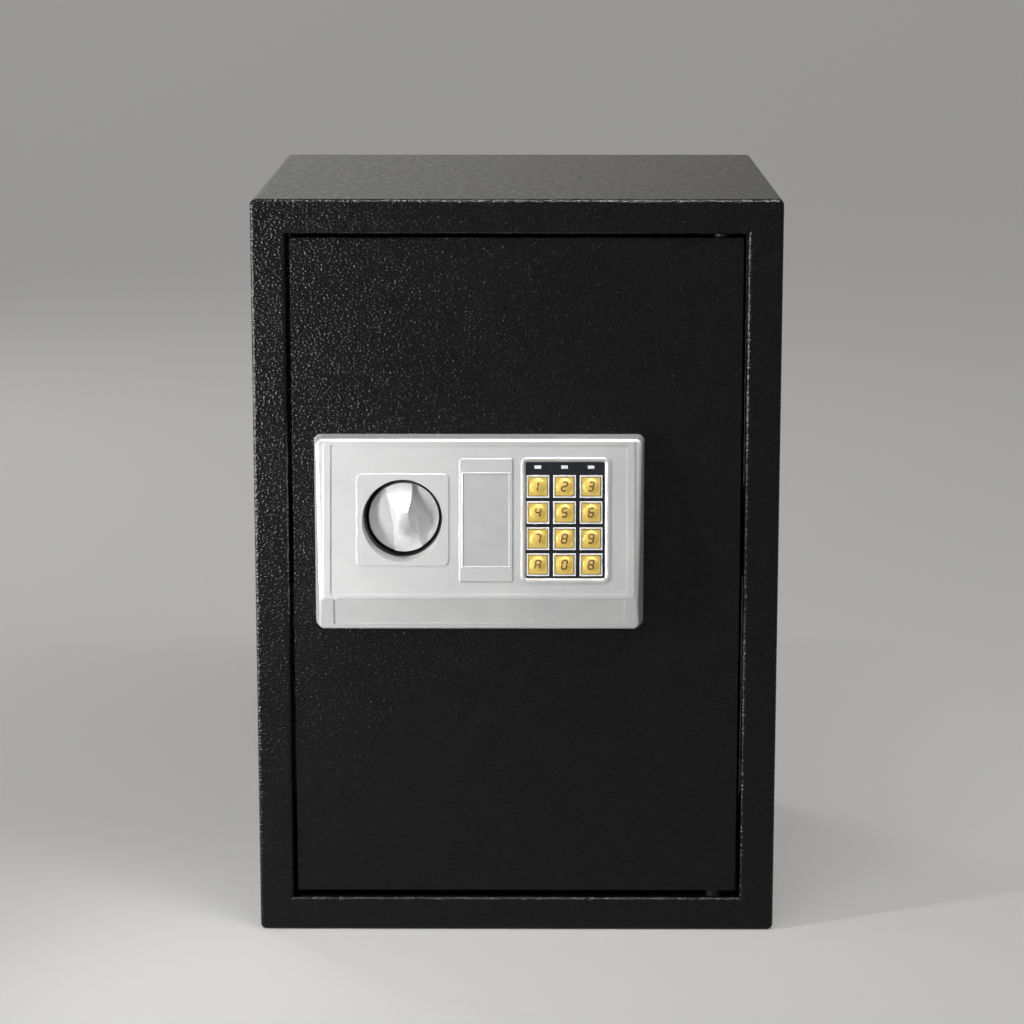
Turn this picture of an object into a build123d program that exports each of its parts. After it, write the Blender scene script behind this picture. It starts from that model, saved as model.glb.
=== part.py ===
from build123d import *
import os
from math import atan2, cos, degrees, radians, sin, tan

# Free-standing steel safe with a right-hung door, a push-button lock panel and a quarter-turn knob.
#
# Millimetres.  +X is the viewer's right, the front faces -Y and +Z is up.  The origin is the centre
# of the base on the surface the safe stands on.  The safe is stored closed but unlocked: its bolts
# are drawn in and the lock's plunger is pulled up.

# how far a cutting shape runs past the face that it cuts through
overrun = 1.0

# ---------------------------------------------------------------- cabinet
cabinet_width = 350.0
cabinet_depth = 330.0
cabinet_height = 500.0
cabinet_sheet = 2.0
cabinet_corner_radius = 4.0
front_edge_radius = 2.5
front_frame_depth = 4.5
flange_width = 23.0
lip_depth = 7.5
lip_notch_depth = 3.5
weld_clearance = 0.1

floor_anchor_spacing = 200.0
wall_anchor_spacing = 200.0
wall_anchor_height = 400.0
anchor_hole_radius = 5.0

mat_thickness = 3.0
mat_gap = 2.2
mat_corner_radius = 3.0
mat_hole_radius = 9.0

shelf_height = 250.0
shelf_sheet = 1.5
shelf_gap = 1.5
shelf_front_setback = 62.0
shelf_fold = 16.0
shelf_bend_radius = 2.0
shelf_clip_size = 14.0
shelf_clip_length = 28.0
shelf_clip_inset = 6.0
shelf_clip_sheet = 2.0

# ---------------------------------------------------------------- door
door_thickness = 4.0
door_recess = 4.0
door_side_gap = 2.5
door_top_gap = 2.5
door_bottom_gap = 4.0
door_edge_radius = 0.6

hinge_inset = 14.0
hinge_setback = 4.0
hinge_pin_radius = 4.0
hinge_collar_radius = 6.0
hinge_running_clearance = 0.08
hinge_end_gap = 0.2
hinge_top_gap = 0.6
hinge_pin_past_bracket = 1.5
hinge_pin_chamfer = 0.8
hinge_notch_clearance = 2.0
hinge_bracket_thickness = 3.0
hinge_bracket_gap = 2.0
hinge_bracket_left = 16.0
hinge_bracket_right = 22.0
hinge_bracket_reach = 12.0
hinge_bracket_corner = 5.0
hinge_bracket_leg_gap = 3.0
hinge_block_height = 22.0
hinge_block_depth = 11.0
hinge_block_width = 14.0
hinge_block_corner = 4.0
thrust_washer_thickness = 1.5
thrust_washer_radius = 7.0

# ---------------------------------------------------------------- lock panel on the door's face
panel_from_door_left = 14.7
panel_above_door_bottom = 185.5
panel_height = 131.0
panel_ridge_height = 25.0
panel_left_margin = 28.8
knob_to_cover_gap = 7.05
cover_to_keypad_gap = 5.7
panel_right_margin = 23.35
panel_depth_at_top = 10.7
panel_depth_at_ridge = 30.0
panel_depth_at_bottom = 18.7
panel_draft = 8.0
panel_wall = 2.4
panel_corner_radius = 4.5
panel_inner_corner_radius = 0.8
panel_edge_radius = 2.4
rim_height = 0.9
rim_root = 1.2
rim_side_width = 4.7
rim_end_width = 2.6
rim_side_margin = 2.4
rim_top_margin = 1.2
rim_bottom_margin = 0.6
rim_corner_radius = 3.6
rim_inner_radius = 1.6
band_recess_depth = 0.8
band_side_margin = 13.1
band_top_margin = 1.2
band_bottom_margin = 7.4
boss_radius = 4.0
boss_inset_side = 12.0
boss_inset_top = 10.0
boss_inset_bottom = 13.0
panel_screw_reach = 7.5
panel_screw_hole_room = 0.5
panel_screw_radius = 2.0
screw_head_radius = 3.8
screw_head_height = 2.4
screw_head_rounding = 1.1
screw_clearance = 0.25

# ---------------------------------------------------------------- knob and bolt drive
knob_above_panel_bottom = 77.5
pad_left_of_spindle = 0.7
pad_below_spindle = 0.6
pad_root = 0.5
knob_pad_size = 61.0
knob_pad_height = 0.8
knob_pad_corner_radius = 3.8
knob_well_floor_radius = 24.7
knob_well_draft = 7.5
knob_well_wall = 2.0
knob_well_floor = 5.0
bush_head_clearance = 1.0
knob_radius = 23.5
knob_disc_front = 12.6
knob_disc_thickness = 6.0
knob_disc_edge_radius = 0.8
knob_front_wall = 3.0
knob_boss_radius = 9.0
knob_rest_tilt = 8.8
grip_height = 13.0
grip_end_height = 2.6
grip_crest_shares = ((0.28, 0.90), (0.56, 0.45), (0.78, 0.255))
grip_end_inset = 0.4
grip_end_slope = 0.06
grip_crest_width = 7.0
grip_scoop_radius = 140.0
grip_scoop_draft = 20.5
spindle_radius = 4.0
spindle_end_gap = 0.2
spindle_chamfer = 0.4
spindle_running_clearance = 0.08
bush_radius = 7.0
bush_head_radius = 10.0
bush_head_thickness = 2.0
press_clearance = 0.03

drive_pin_circle = 12.0
drive_pin_radius = 2.5
drive_slot_clearance = 0.7
quarter_turn = 90.0
cam_thickness = 4.0
cam_hub_radius = 9.0
cam_pin_land = 2.5
cam_gap = 1.5
drive_pin_past_carriage = 1.0
plate_gap = 0.3

mechanism_sheet = 2.0
carriage_sheet = 3.0
carriage_plate_height = 60.0
carriage_plate_length = 59.0
carriage_below_centre = 2.0
carriage_slide_clearance = 0.15
carriage_gusset = 6.0
carriage_flange_margin = 3.0
bolt_radius = 9.0
bolt_length = 45.0
bolt_spacing = 90.0
bolt_throw_past_door = 15.5
bolt_setback = 16.0
bolt_running_clearance = 0.3
bolt_end_chamfer = 1.5
bolt_screw_radius = 2.5
bolt_screw_depth = 12.0
bolt_screw_hole_room = 2.0
bolt_screw_head_radius = 3.7
bolt_screw_head_height = 3.0
bolt_screw_head_rounding = 1.2
guide_sheet = 3.0
guide_from_door_edge = 3.5
guide_end_margin = 7.0
guide_back_margin = 4.0
stud_margin = 2.0
lower_stud_shift = 8.0
stud_radius = 3.0
stud_shoulder_radius = 4.5
stud_head_radius = 5.0
stud_head_thickness = 1.6

chassis_side_gap = 3.0
chassis_past_key_lock = 8.0
chassis_bottom_gap = 8.0
chassis_top_gap = 2.0
chassis_corner_radius = 4.0
chassis_screw_inset = 6.0
chassis_screw_rise = 20.0
screw_head_clearance = 1.0

# ---------------------------------------------------------------- solenoid
plunger_radius = 3.5
plunger_travel = 6.0
plunger_left_of_knob = 7.6
plunger_side_gap = 0.75
plunger_tip_gap = 1.0
plunger_chamfer = 0.6
plunger_top_room = 5.0
collar_gap = 1.5
plunger_collar_radius = 5.5
plunger_collar_thickness = 1.5
lug_height = 6.5
coil_radius = 6.9
coil_height = 20.0
coil_bore_clearance = 0.3
solenoid_sheet = 1.5
solenoid_side = 1.5
spring_wire = 0.8
spring_radius = 4.7
spring_turns = 4.0
spring_seat_gap = 0.05
wire_sides = 6

# ---------------------------------------------------------------- emergency lock behind the centre cover
cylinder_radius = 9.5
cylinder_head_radius = 11.5
cylinder_head_thickness = 2.0
cylinder_front = 10.0
cylinder_length = 34.0
cylinder_nut_size = 24.0
cylinder_nut_thickness = 4.0
cylinder_head_chamfer = 0.8
plug_radius = 6.0
plug_running_clearance = 0.08
plug_set_back = 0.3
key_slot_width = 1.6
key_slot_height = 8.0
key_slot_depth = 14.0
tail_cam_hub_margin = 2.0
tail_cam_length = 19.0
tail_cam_width = 9.0
tail_cam_thickness = 2.0

cover_width = 35.3
cover_length = 81.6
cover_thickness = 2.2
cover_proud = 0.8
cover_fit = 0.25
cover_corner_radius = 1.2
cover_edge_radius = 0.4
cover_window_width = 27.0
cover_window_length = 58.0
inlay_width = 30.2
inlay_length = 61.0
inlay_depth = 0.8
inlay_thickness = 0.5
clip_length = 8.0
clip_depth = 4.0
clip_thickness = 1.4
clip_root = 0.2

# ---------------------------------------------------------------- keypad
keypad_above_panel_bottom = 76.8
bezel_width = 58.4
bezel_length = 82.8
bezel_height = 1.2
bezel_border = 2.9
bezel_bevel = 40.0
bezel_corner_radius = 4.3
keypad_plate_drop = 1.5
keypad_plate_thickness = 1.4
keypad_fit = 0.15
keypad_ledge = 1.1
key_columns = 3
key_rows = 4
key_column_pitch = 17.6
key_row_pitch = 17.25
key_rows_below_centre = 3.6
key_columns_left_of_centre = 0.6
key_size = 12.0
key_corner_radius = 0.8
key_gap = 0.3
key_flange = 13.4
key_flange_thickness = 0.8
key_proud = 0.6
key_dome_radius = 5.3
key_dome_height = 1.1
key_travel = 1.0
key_stop_gap = 0.2
rubber_mat_thickness = 1.0
board_thickness = 1.6
board_margin = 0.4
chip_place = (-8.0, -14.0)
chip_size = (12.0, 8.0)
chip_height = 1.6
sounder_place = (10.0, -26.0)
sounder_radius = 6.0
sounder_height = 5.0
indicator_width = 4.4
indicator_height = 2.2
indicator_above_keys = 12.8
indicator_gap = 0.15

# ---------------------------------------------------------------- inner lock case, batteries, reset button
case_from_door_left = 7.3
case_width = 237.2
case_below_knob = 72.0
case_above_knob = 80.0
case_depth = 38.0
case_sheet = 1.2
case_corner_radius = 3.0
case_back_radius = 1.5
case_bolt_clearance = 1.0
case_tab_width = 18.0
case_tab_height = 12.0
case_tab_from_side = 30.0
cable_hole_radius = 6.0

battery_radius = 7.1
battery_length = 49.5
battery_nub_radius = 2.6
battery_nub_length = 1.0
battery_count = 4
battery_pitch = 15.4
battery_edge_chamfer = 0.6
battery_side_room = 0.3
battery_top_room = 0.9
contact_thickness = 0.6
contact_width = 9.0
contact_button_radius = 2.0
contact_gap = 0.1
tray_wall = 1.5
tray_end_room = 2.4
tray_from_case_right = 10.0
tray_above_case_bottom = 9.0
tray_flange = 3.5
tray_flange_thickness = 1.5
tray_rail_inset = 1.5
tray_lip_overlap = 0.5
tray_fit = 0.3
battery_cover_thickness = 2.0
battery_cover_gap = 0.3
battery_cover_end_gap = 1.0
grip_rib_count = 5
grip_rib_pitch = 3.0
grip_rib_inset = 6.0
grip_rib_width = 1.2
grip_rib_height = 0.9
grip_rib_length = 28.0

reset_from_case_left = 146.0
reset_below_case_top = 22.0
reset_button_radius = 3.0
reset_flange_radius = 4.6
reset_flange_thickness = 1.2
reset_proud = 2.0
reset_travel = 1.5
reset_edge_radius = 0.8
reset_switch_size = 14.0
reset_switch_depth = 12.0
reset_clearance = 0.3

# ---------------------------------------------------------------- places worked out from the sizes
half_width = cabinet_width / 2
inner_half_width = half_width - cabinet_sheet
front_y = -cabinet_depth / 2
rear_y = cabinet_depth / 2
opening_half_width = half_width - flange_width
opening_bottom = flange_width
opening_top = cabinet_height - flange_width
lip_back_y = front_y + lip_depth
wrap_front_y = front_y + front_frame_depth

door_left = -opening_half_width + door_side_gap
door_right = opening_half_width - door_side_gap
door_bottom = opening_bottom + door_bottom_gap
door_top = opening_top - door_top_gap
door_front_y = front_y + door_recess
door_back_y = door_front_y + door_thickness

hinge_x = door_right - hinge_inset
hinge_y = door_back_y + hinge_setback
lower_bracket_top = opening_bottom - cabinet_sheet - hinge_bracket_gap
upper_bracket_bottom = opening_top + cabinet_sheet + hinge_bracket_gap

panel_left = door_left + panel_from_door_left
panel_bottom = door_bottom + panel_above_door_bottom
pad_x = panel_left + panel_left_margin + knob_pad_size / 2
key_lock_x = pad_x + knob_pad_size / 2 + knob_to_cover_gap + cover_width / 2
keypad_x = key_lock_x + cover_width / 2 + cover_to_keypad_gap + bezel_width / 2
panel_right = keypad_x + bezel_width / 2 + panel_right_margin
panel_width = panel_right - panel_left
panel_x = (panel_left + panel_right) / 2
panel_top = panel_bottom + panel_height
ridge_z = panel_bottom + panel_ridge_height
face_rise = panel_height - panel_ridge_height
face_tilt = degrees(atan2(panel_depth_at_ridge - panel_depth_at_top, face_rise))
band_tilt = degrees(atan2(panel_depth_at_ridge - panel_depth_at_bottom, panel_ridge_height))

knob_x = pad_x + pad_left_of_spindle
knob_z = panel_bottom + knob_above_panel_bottom
pad_z = knob_z - pad_below_spindle
keypad_z = panel_bottom + keypad_above_panel_bottom

bolt_travel = 2 * drive_pin_circle * sin(radians(quarter_turn / 2))
drive_pin_x = knob_x + drive_pin_circle * sin(radians(quarter_turn / 2))
drive_pin_z = knob_z + drive_pin_circle * cos(radians(quarter_turn / 2))
mechanism_back_y = door_back_y + mechanism_sheet
cam_front_y = mechanism_back_y + cam_gap
cam_back_y = cam_front_y + cam_thickness
carriage_front_y = cam_back_y + cam_gap
carriage_back_y = carriage_front_y + carriage_sheet
bolt_y = door_back_y + bolt_setback
bolt_tip_x = door_left - bolt_throw_past_door + bolt_travel
bolt_root_x = bolt_tip_x + bolt_length
carriage_top = knob_z + carriage_plate_height / 2 - carriage_below_centre
carriage_bottom = carriage_top - carriage_plate_height
carriage_right = bolt_root_x + carriage_plate_length
guide_left = door_left + guide_from_door_edge

plunger_x = knob_x - plunger_left_of_knob
plunger_y = (carriage_front_y + carriage_back_y) / 2
lug_left = plunger_x + plunger_radius + plunger_side_gap
lug_width = bolt_travel - 2 * plunger_radius - 2 * plunger_side_gap
plunger_tip = carriage_top + lug_height + plunger_tip_gap
collar_bottom = plunger_tip + plunger_travel + collar_gap
solenoid_bottom = collar_bottom + plunger_collar_thickness + plunger_travel + collar_gap
coil_bottom = solenoid_bottom + solenoid_sheet
coil_top = coil_bottom + coil_height

case_left = door_left + case_from_door_left
case_right = case_left + case_width
case_bottom = knob_z - case_below_knob
case_top = knob_z + case_above_knob
case_back_y = door_back_y + case_depth
case_inner_y = case_back_y - case_sheet

cell_length = battery_length + battery_nub_length
tray_room_x = cell_length + 2 * tray_end_room
tray_room_z = battery_count * battery_pitch + 2 * battery_side_room
tray_right = case_right - tray_from_case_right
tray_left = tray_right - tray_room_x - 2 * tray_wall
tray_bottom = case_bottom + tray_above_case_bottom
tray_top = tray_bottom + tray_room_z + 2 * tray_wall
tray_room_y = 2 * battery_radius + battery_side_room + battery_top_room
tray_back_y = case_back_y + tray_flange_thickness
battery_y = case_back_y - tray_room_y + battery_radius + battery_side_room

chassis_right = key_lock_x + cylinder_radius + chassis_past_key_lock
chassis_bottom = case_bottom + case_sheet + chassis_bottom_gap
chassis_top = case_top - case_sheet - chassis_top_gap

reset_x = case_left + reset_from_case_left
reset_z = case_top - reset_below_case_top

key_names = ("1", "2", "3", "4", "5", "6", "7", "8", "9", "a", "0", "b")
plate_front = bezel_height - keypad_plate_drop
plate_rear = plate_front - keypad_plate_thickness
flange_front = plate_rear - key_gap
mat_front = flange_front - key_flange_thickness - key_travel - key_stop_gap
mat_rear = mat_front - rubber_mat_thickness
board_rear = mat_rear - board_thickness


# ---------------------------------------------------------------- plain shapes by their limits
def slab(x_range, y_range, z_range):
    """A box between two limits on each axis."""
    sizes = [high - low for low, high in (x_range, y_range, z_range)]
    middle = [(high + low) / 2 for low, high in (x_range, y_range, z_range)]
    return Pos(*middle) * Box(*sizes)


def rod_along_y(x, z, radius, y_range):
    length = y_range[1] - y_range[0]
    return Pos(x, (y_range[0] + y_range[1]) / 2, z) * Rot(90, 0, 0) * Cylinder(radius, length)


def rod_along_z(x, y, radius, z_range):
    length = z_range[1] - z_range[0]
    return Pos(x, y, (z_range[0] + z_range[1]) / 2) * Cylinder(radius, length)


def rod_along_x(y, z, radius, x_range):
    length = x_range[1] - x_range[0]
    return Pos((x_range[0] + x_range[1]) / 2, y, z) * Rot(0, 90, 0) * Cylinder(radius, length)


def front_plane(y, x=0.0, z=0.0):
    """Sketch plane seen from the front: its own x is +X, its own y is +Z, and it faces -Y."""
    return Plane(origin=(x, y, z), x_dir=(1, 0, 0), z_dir=(0, -1, 0))


def face_plane(x, z, out=0.0):
    """Sketch plane on the lock panel's sloping face at (x, z), moved out by a distance."""
    depth = panel_depth_at_ridge - (z - ridge_z) * tan(radians(face_tilt))
    normal = Vector(0, -cos(radians(face_tilt)), sin(radians(face_tilt)))
    origin = Vector(x, door_front_y - depth, z) + normal * out
    return Plane(origin=origin, x_dir=(1, 0, 0), z_dir=normal)


def save(node, *solids):
    """Write one node: a single solid, or a group of like solids."""
    shape = solids[0] if len(solids) == 1 else Compound(children=[Part(s.wrapped) for s in solids])
    export_step(shape, f"parts/{node}.step")


# ---------------------------------------------------------------- cabinet
def cabinet_outline(inset):
    """The cabinet's rounded front outline, drawn in by a distance."""
    return RectangleRounded(
        cabinet_width - 2 * inset, cabinet_height - 2 * inset, cabinet_corner_radius - inset
    )


def front_frame():
    """Folded front: a flange round the opening, rounded outside, with a lip turned inwards."""
    back = front_plane(wrap_front_y, 0, cabinet_height / 2)
    frame = extrude(back * cabinet_outline(0), front_frame_depth)
    frame = fillet(frame.faces().sort_by(Axis.Y)[0].edges(), front_edge_radius)
    frame -= extrude(back * cabinet_outline(cabinet_sheet), front_frame_depth - cabinet_sheet)
    lip_x = (-opening_half_width - cabinet_sheet, opening_half_width + cabinet_sheet)
    lip_z = (opening_bottom - cabinet_sheet, opening_top + cabinet_sheet)
    frame += slab(lip_x, (front_y + cabinet_sheet, lip_back_y), lip_z)
    opening_x = (-opening_half_width, opening_half_width)
    opening_z = (opening_bottom, opening_top)
    frame -= slab(opening_x, (front_y - overrun, lip_back_y + overrun), opening_z)
    mouth = frame.faces().sort_by(Axis.Y)[0].inner_wires()[0].edges()
    frame = fillet(mouth, front_edge_radius)
    notch_reach = hinge_collar_radius + hinge_notch_clearance
    for z in (opening_bottom, opening_top):
        frame -= slab(
            (hinge_x - notch_reach, hinge_x + notch_reach),
            (lip_back_y - lip_notch_depth, lip_back_y + overrun),
            (z - cabinet_sheet - overrun, z + cabinet_sheet + overrun),
        )
    return frame


def cabinet_wrap():
    """Four walls folded from one sheet, with two anchor holes in the floor."""
    wall = cabinet_outline(0) - cabinet_outline(cabinet_sheet)
    wrap = extrude(front_plane(rear_y, 0, cabinet_height / 2) * wall, rear_y - wrap_front_y)
    through = (-overrun, cabinet_sheet + overrun)
    for side in (-1, 1):
        wrap -= rod_along_z(side * floor_anchor_spacing / 2, 0, anchor_hole_radius, through)
    return wrap


def rear_panel():
    """Flat sheet welded inside the back of the wrap, with two wall-anchor holes."""
    outline = cabinet_outline(cabinet_sheet + weld_clearance)
    sheet = extrude(front_plane(rear_y, 0, cabinet_height / 2) * outline, cabinet_sheet)
    through = (rear_y - cabinet_sheet - overrun, rear_y + overrun)
    for side in (-1, 1):
        hole_x = side * wall_anchor_spacing / 2
        sheet -= rod_along_y(hole_x, wall_anchor_height, anchor_hole_radius, through)
    return sheet


def floor_mat():
    """Loose foam mat on the floor, cut round the anchor holes."""
    side = inner_half_width - mat_gap
    z_range = (cabinet_sheet, cabinet_sheet + mat_thickness)
    mat = slab((-side, side), (lip_back_y + mat_gap, rear_y - cabinet_sheet - mat_gap), z_range)
    mat = fillet(mat.edges().filter_by(Axis.Z), mat_corner_radius)
    for hand in (-1, 1):
        mat -= rod_along_z(hand * floor_anchor_spacing / 2, 0, mat_hole_radius, (0, 2 * z_range[1]))
    return mat


def shelf():
    """Loose steel shelf with its front and back edges folded down."""
    side = inner_half_width - shelf_gap
    front = front_y + shelf_front_setback
    back = rear_y - cabinet_sheet - shelf_gap
    tray = slab((-side, side), (front, back), (shelf_height - shelf_fold, shelf_height))
    tray = fillet(tray.edges().filter_by(Axis.X).group_by(Axis.Z)[-1], shelf_bend_radius)
    room_y = (front + shelf_sheet, back - shelf_sheet)
    tray -= slab((-side - overrun, side + overrun), room_y, (0, shelf_height - shelf_sheet))
    return tray


def shelf_clips():
    """Four angle clips spot-welded to the side walls under the shelf."""
    clips = []
    inset = shelf_sheet + shelf_clip_inset
    front = front_y + shelf_front_setback + inset
    back = rear_y - cabinet_sheet - shelf_gap - inset - shelf_clip_length
    top = shelf_height - shelf_sheet
    for side in (-1, 1):
        for y in (front, back):
            y_range = (y, y + shelf_clip_length)
            wall = sorted((side * inner_half_width, side * (inner_half_width - shelf_clip_sheet)))
            ledge = sorted((side * inner_half_width, side * (inner_half_width - shelf_clip_size)))
            clip = slab(wall, y_range, (top - shelf_clip_size, top))
            clip += slab(ledge, y_range, (top - shelf_clip_sheet, top))
            clips.append(clip)
    return clips


# ---------------------------------------------------------------- door and its hinge
def hinge_bracket(plate_z, leg_z):
    """Angle welded behind the flange: a drilled plate that takes the pin, and a leg on the flange."""
    x_range = (hinge_x - hinge_bracket_left, hinge_x + hinge_bracket_right)
    flange_back = front_y + cabinet_sheet
    plate = slab(x_range, (flange_back, hinge_y + hinge_bracket_reach), plate_z)
    plate = fillet(plate.edges().filter_by(Axis.Z).group_by(Axis.Y)[-1], hinge_bracket_corner)
    bracket = plate + slab(x_range, (flange_back, flange_back + hinge_bracket_thickness), leg_z)
    return bracket - rod_along_z(hinge_x, hinge_y, hinge_pin_radius + hinge_running_clearance, plate_z)


def hinge_bracket_bottom():
    plate_z = (lower_bracket_top - hinge_bracket_thickness, lower_bracket_top)
    return hinge_bracket(plate_z, (cabinet_sheet + mat_thickness, lower_bracket_top))


def hinge_bracket_top():
    plate_z = (upper_bracket_bottom, upper_bracket_bottom + hinge_bracket_thickness)
    leg_top = cabinet_height - cabinet_sheet - hinge_bracket_leg_gap
    return hinge_bracket(plate_z, (upper_bracket_bottom, leg_top))


def thrust_washer():
    z_range = (lower_bracket_top, lower_bracket_top + thrust_washer_thickness)
    washer = rod_along_z(hinge_x, hinge_y, thrust_washer_radius, z_range)
    return washer - rod_along_z(hinge_x, hinge_y, hinge_pin_radius + hinge_running_clearance, z_range)


def hinge_blocks():
    """Two drilled blocks welded behind the door, at its lower and upper ends."""
    blocks = []
    half = hinge_block_width / 2
    y_range = (door_back_y, door_back_y + hinge_block_depth)
    for z in (door_bottom, door_top - hinge_block_height):
        z_range = (z, z + hinge_block_height)
        block = slab((hinge_x - half, hinge_x + half), y_range, z_range)
        block = fillet(block.edges().filter_by(Axis.Z).group_by(Axis.Y)[-1], hinge_block_corner)
        blocks.append(block - rod_along_z(hinge_x, hinge_y, hinge_pin_radius + press_clearance, z_range))
    return blocks


def hinge_pins():
    """Two shouldered pins: pressed into the blocks, they turn in the brackets."""
    lower_end = lower_bracket_top - hinge_bracket_thickness - hinge_pin_past_bracket
    washer_top = lower_bracket_top + thrust_washer_thickness
    lower = rod_along_z(hinge_x, hinge_y, hinge_pin_radius, (lower_end, door_bottom + hinge_block_height))
    lower += rod_along_z(hinge_x, hinge_y, hinge_collar_radius, (washer_top + hinge_end_gap, door_bottom))
    upper_end = upper_bracket_bottom + hinge_bracket_thickness + hinge_pin_past_bracket
    upper = rod_along_z(hinge_x, hinge_y, hinge_pin_radius, (door_top - hinge_block_height, upper_end))
    collar_z = (door_top, upper_bracket_bottom - hinge_top_gap)
    upper += rod_along_z(hinge_x, hinge_y, hinge_collar_radius, collar_z)
    pins = []
    for pin, end in ((lower, 0), (upper, -1)):
        rim = pin.edges().filter_by(GeomType.CIRCLE).sort_by(Axis.Z)[end]
        pins.append(chamfer(rim, hinge_pin_chamfer))
    return pins


def panel_screw_places():
    """Centres of the four screws that hold the lock panel, from behind the door."""
    xs = (panel_left + boss_inset_side, panel_right - boss_inset_side)
    zs = (panel_bottom + boss_inset_bottom, panel_top - boss_inset_top)
    return [(x, z) for x in xs for z in zs]


def door_plate():
    """Flat laser-cut door, drilled for the bush, the key lock, the cable and the panel's screws."""
    door = slab((door_left, door_right), (door_front_y, door_back_y), (door_bottom, door_top))
    door = fillet(door.faces().sort_by(Axis.Y)[0].edges(), door_edge_radius)
    through = (door_front_y - overrun, door_back_y + overrun)
    door -= rod_along_y(knob_x, knob_z, bush_radius + press_clearance, through)
    door -= rod_along_y(key_lock_x, knob_z, cylinder_radius + press_clearance, through)
    door -= rod_along_y(keypad_x, knob_z, cable_hole_radius, through)
    for x, z in panel_screw_places():
        door -= rod_along_y(x, z, panel_screw_radius + screw_clearance, through)
    return door


def screw_along_y(x, z, radius, head_radius, head_y, tip_y):
    """Round-headed screw along Y: the head sits on head_y, on the side away from the tip."""
    outward = 1 if head_y > tip_y else -1
    shank = rod_along_y(x, z, radius, sorted((head_y, tip_y)))
    head = rod_along_y(x, z, head_radius, sorted((head_y, head_y + outward * screw_head_height)))
    rims = head.edges().filter_by(GeomType.CIRCLE).sort_by(Axis.Y)
    head = fillet(rims[-1] if outward > 0 else rims[0], screw_head_rounding)
    return head + shank


def small_screws(places, head_y, tip_y):
    """A group of the lock's small screws, alike, with their heads on one face."""
    return [
        screw_along_y(x, z, panel_screw_radius, screw_head_radius, head_y, tip_y) for x, z in places
    ]


def panel_screws():
    return small_screws(panel_screw_places(), door_back_y, door_front_y - panel_screw_reach)


# ---------------------------------------------------------------- lock panel
def panel_wedge(inset):
    """The panel's outer form, or its inside when drawn in by a wall thickness."""
    middle_z = (panel_bottom + panel_top) / 2
    reach = panel_depth_at_ridge + overrun
    radius = max(panel_corner_radius - inset, panel_inner_corner_radius)
    sections = []
    for out in (0, reach):
        narrowing = 2 * (inset + out * tan(radians(panel_draft)))
        outline = RectangleRounded(panel_width - narrowing, panel_height - narrowing, radius)
        sections.append(front_plane(door_front_y - out, panel_x, middle_z) * outline)
    block = loft(sections, ruled=True)
    back = inset / cos(radians(face_tilt))
    side_view = Polyline(
        (door_front_y + overrun, panel_bottom),
        (door_front_y - panel_depth_at_bottom + back, panel_bottom),
        (door_front_y - panel_depth_at_ridge + back, ridge_z),
        (door_front_y - panel_depth_at_top + back, panel_top),
        (door_front_y + overrun, panel_top),
        close=True,
    )
    profile = make_face(Plane.YZ.offset(panel_left - overrun) * side_view)
    return block & extrude(profile, panel_width + 2 * overrun, dir=(1, 0, 0))


def rounded_pad(x, z, width, length, radius, height, root):
    """Raised pad on the sloping face, rooted a little way into it, its top edge eased."""
    outline = RectangleRounded(width, length, radius)
    pad = extrude(face_plane(x, z, -root) * outline, root + height)
    top = pad.faces().sort_by(Axis((0, 0, 0), face_plane(x, z).z_dir))[-1]
    return fillet(top.edges(), 0.45 * height)


def face_middle(low_margin, high_margin):
    """Height of the middle, and length, of a field on the sloping face between two margins."""
    slope = cos(radians(face_tilt))
    draft_drop = panel_depth_at_top * tan(radians(panel_draft))
    low = ridge_z + low_margin * slope
    high = panel_top - draft_drop - high_margin * slope
    return (low + high) / 2, (high - low) / slope


def well_cone(wall, floor_y):
    """The knob's drafted well from its floor outwards, or the solid round it."""
    length = floor_y - (door_front_y - panel_depth_at_ridge)
    low = knob_well_floor_radius + wall
    cone = Cone(low, low + length * tan(radians(knob_well_draft)), length)
    return Pos(pad_x, floor_y - length / 2, pad_z) * Rot(90, 0, 0) * cone


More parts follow.
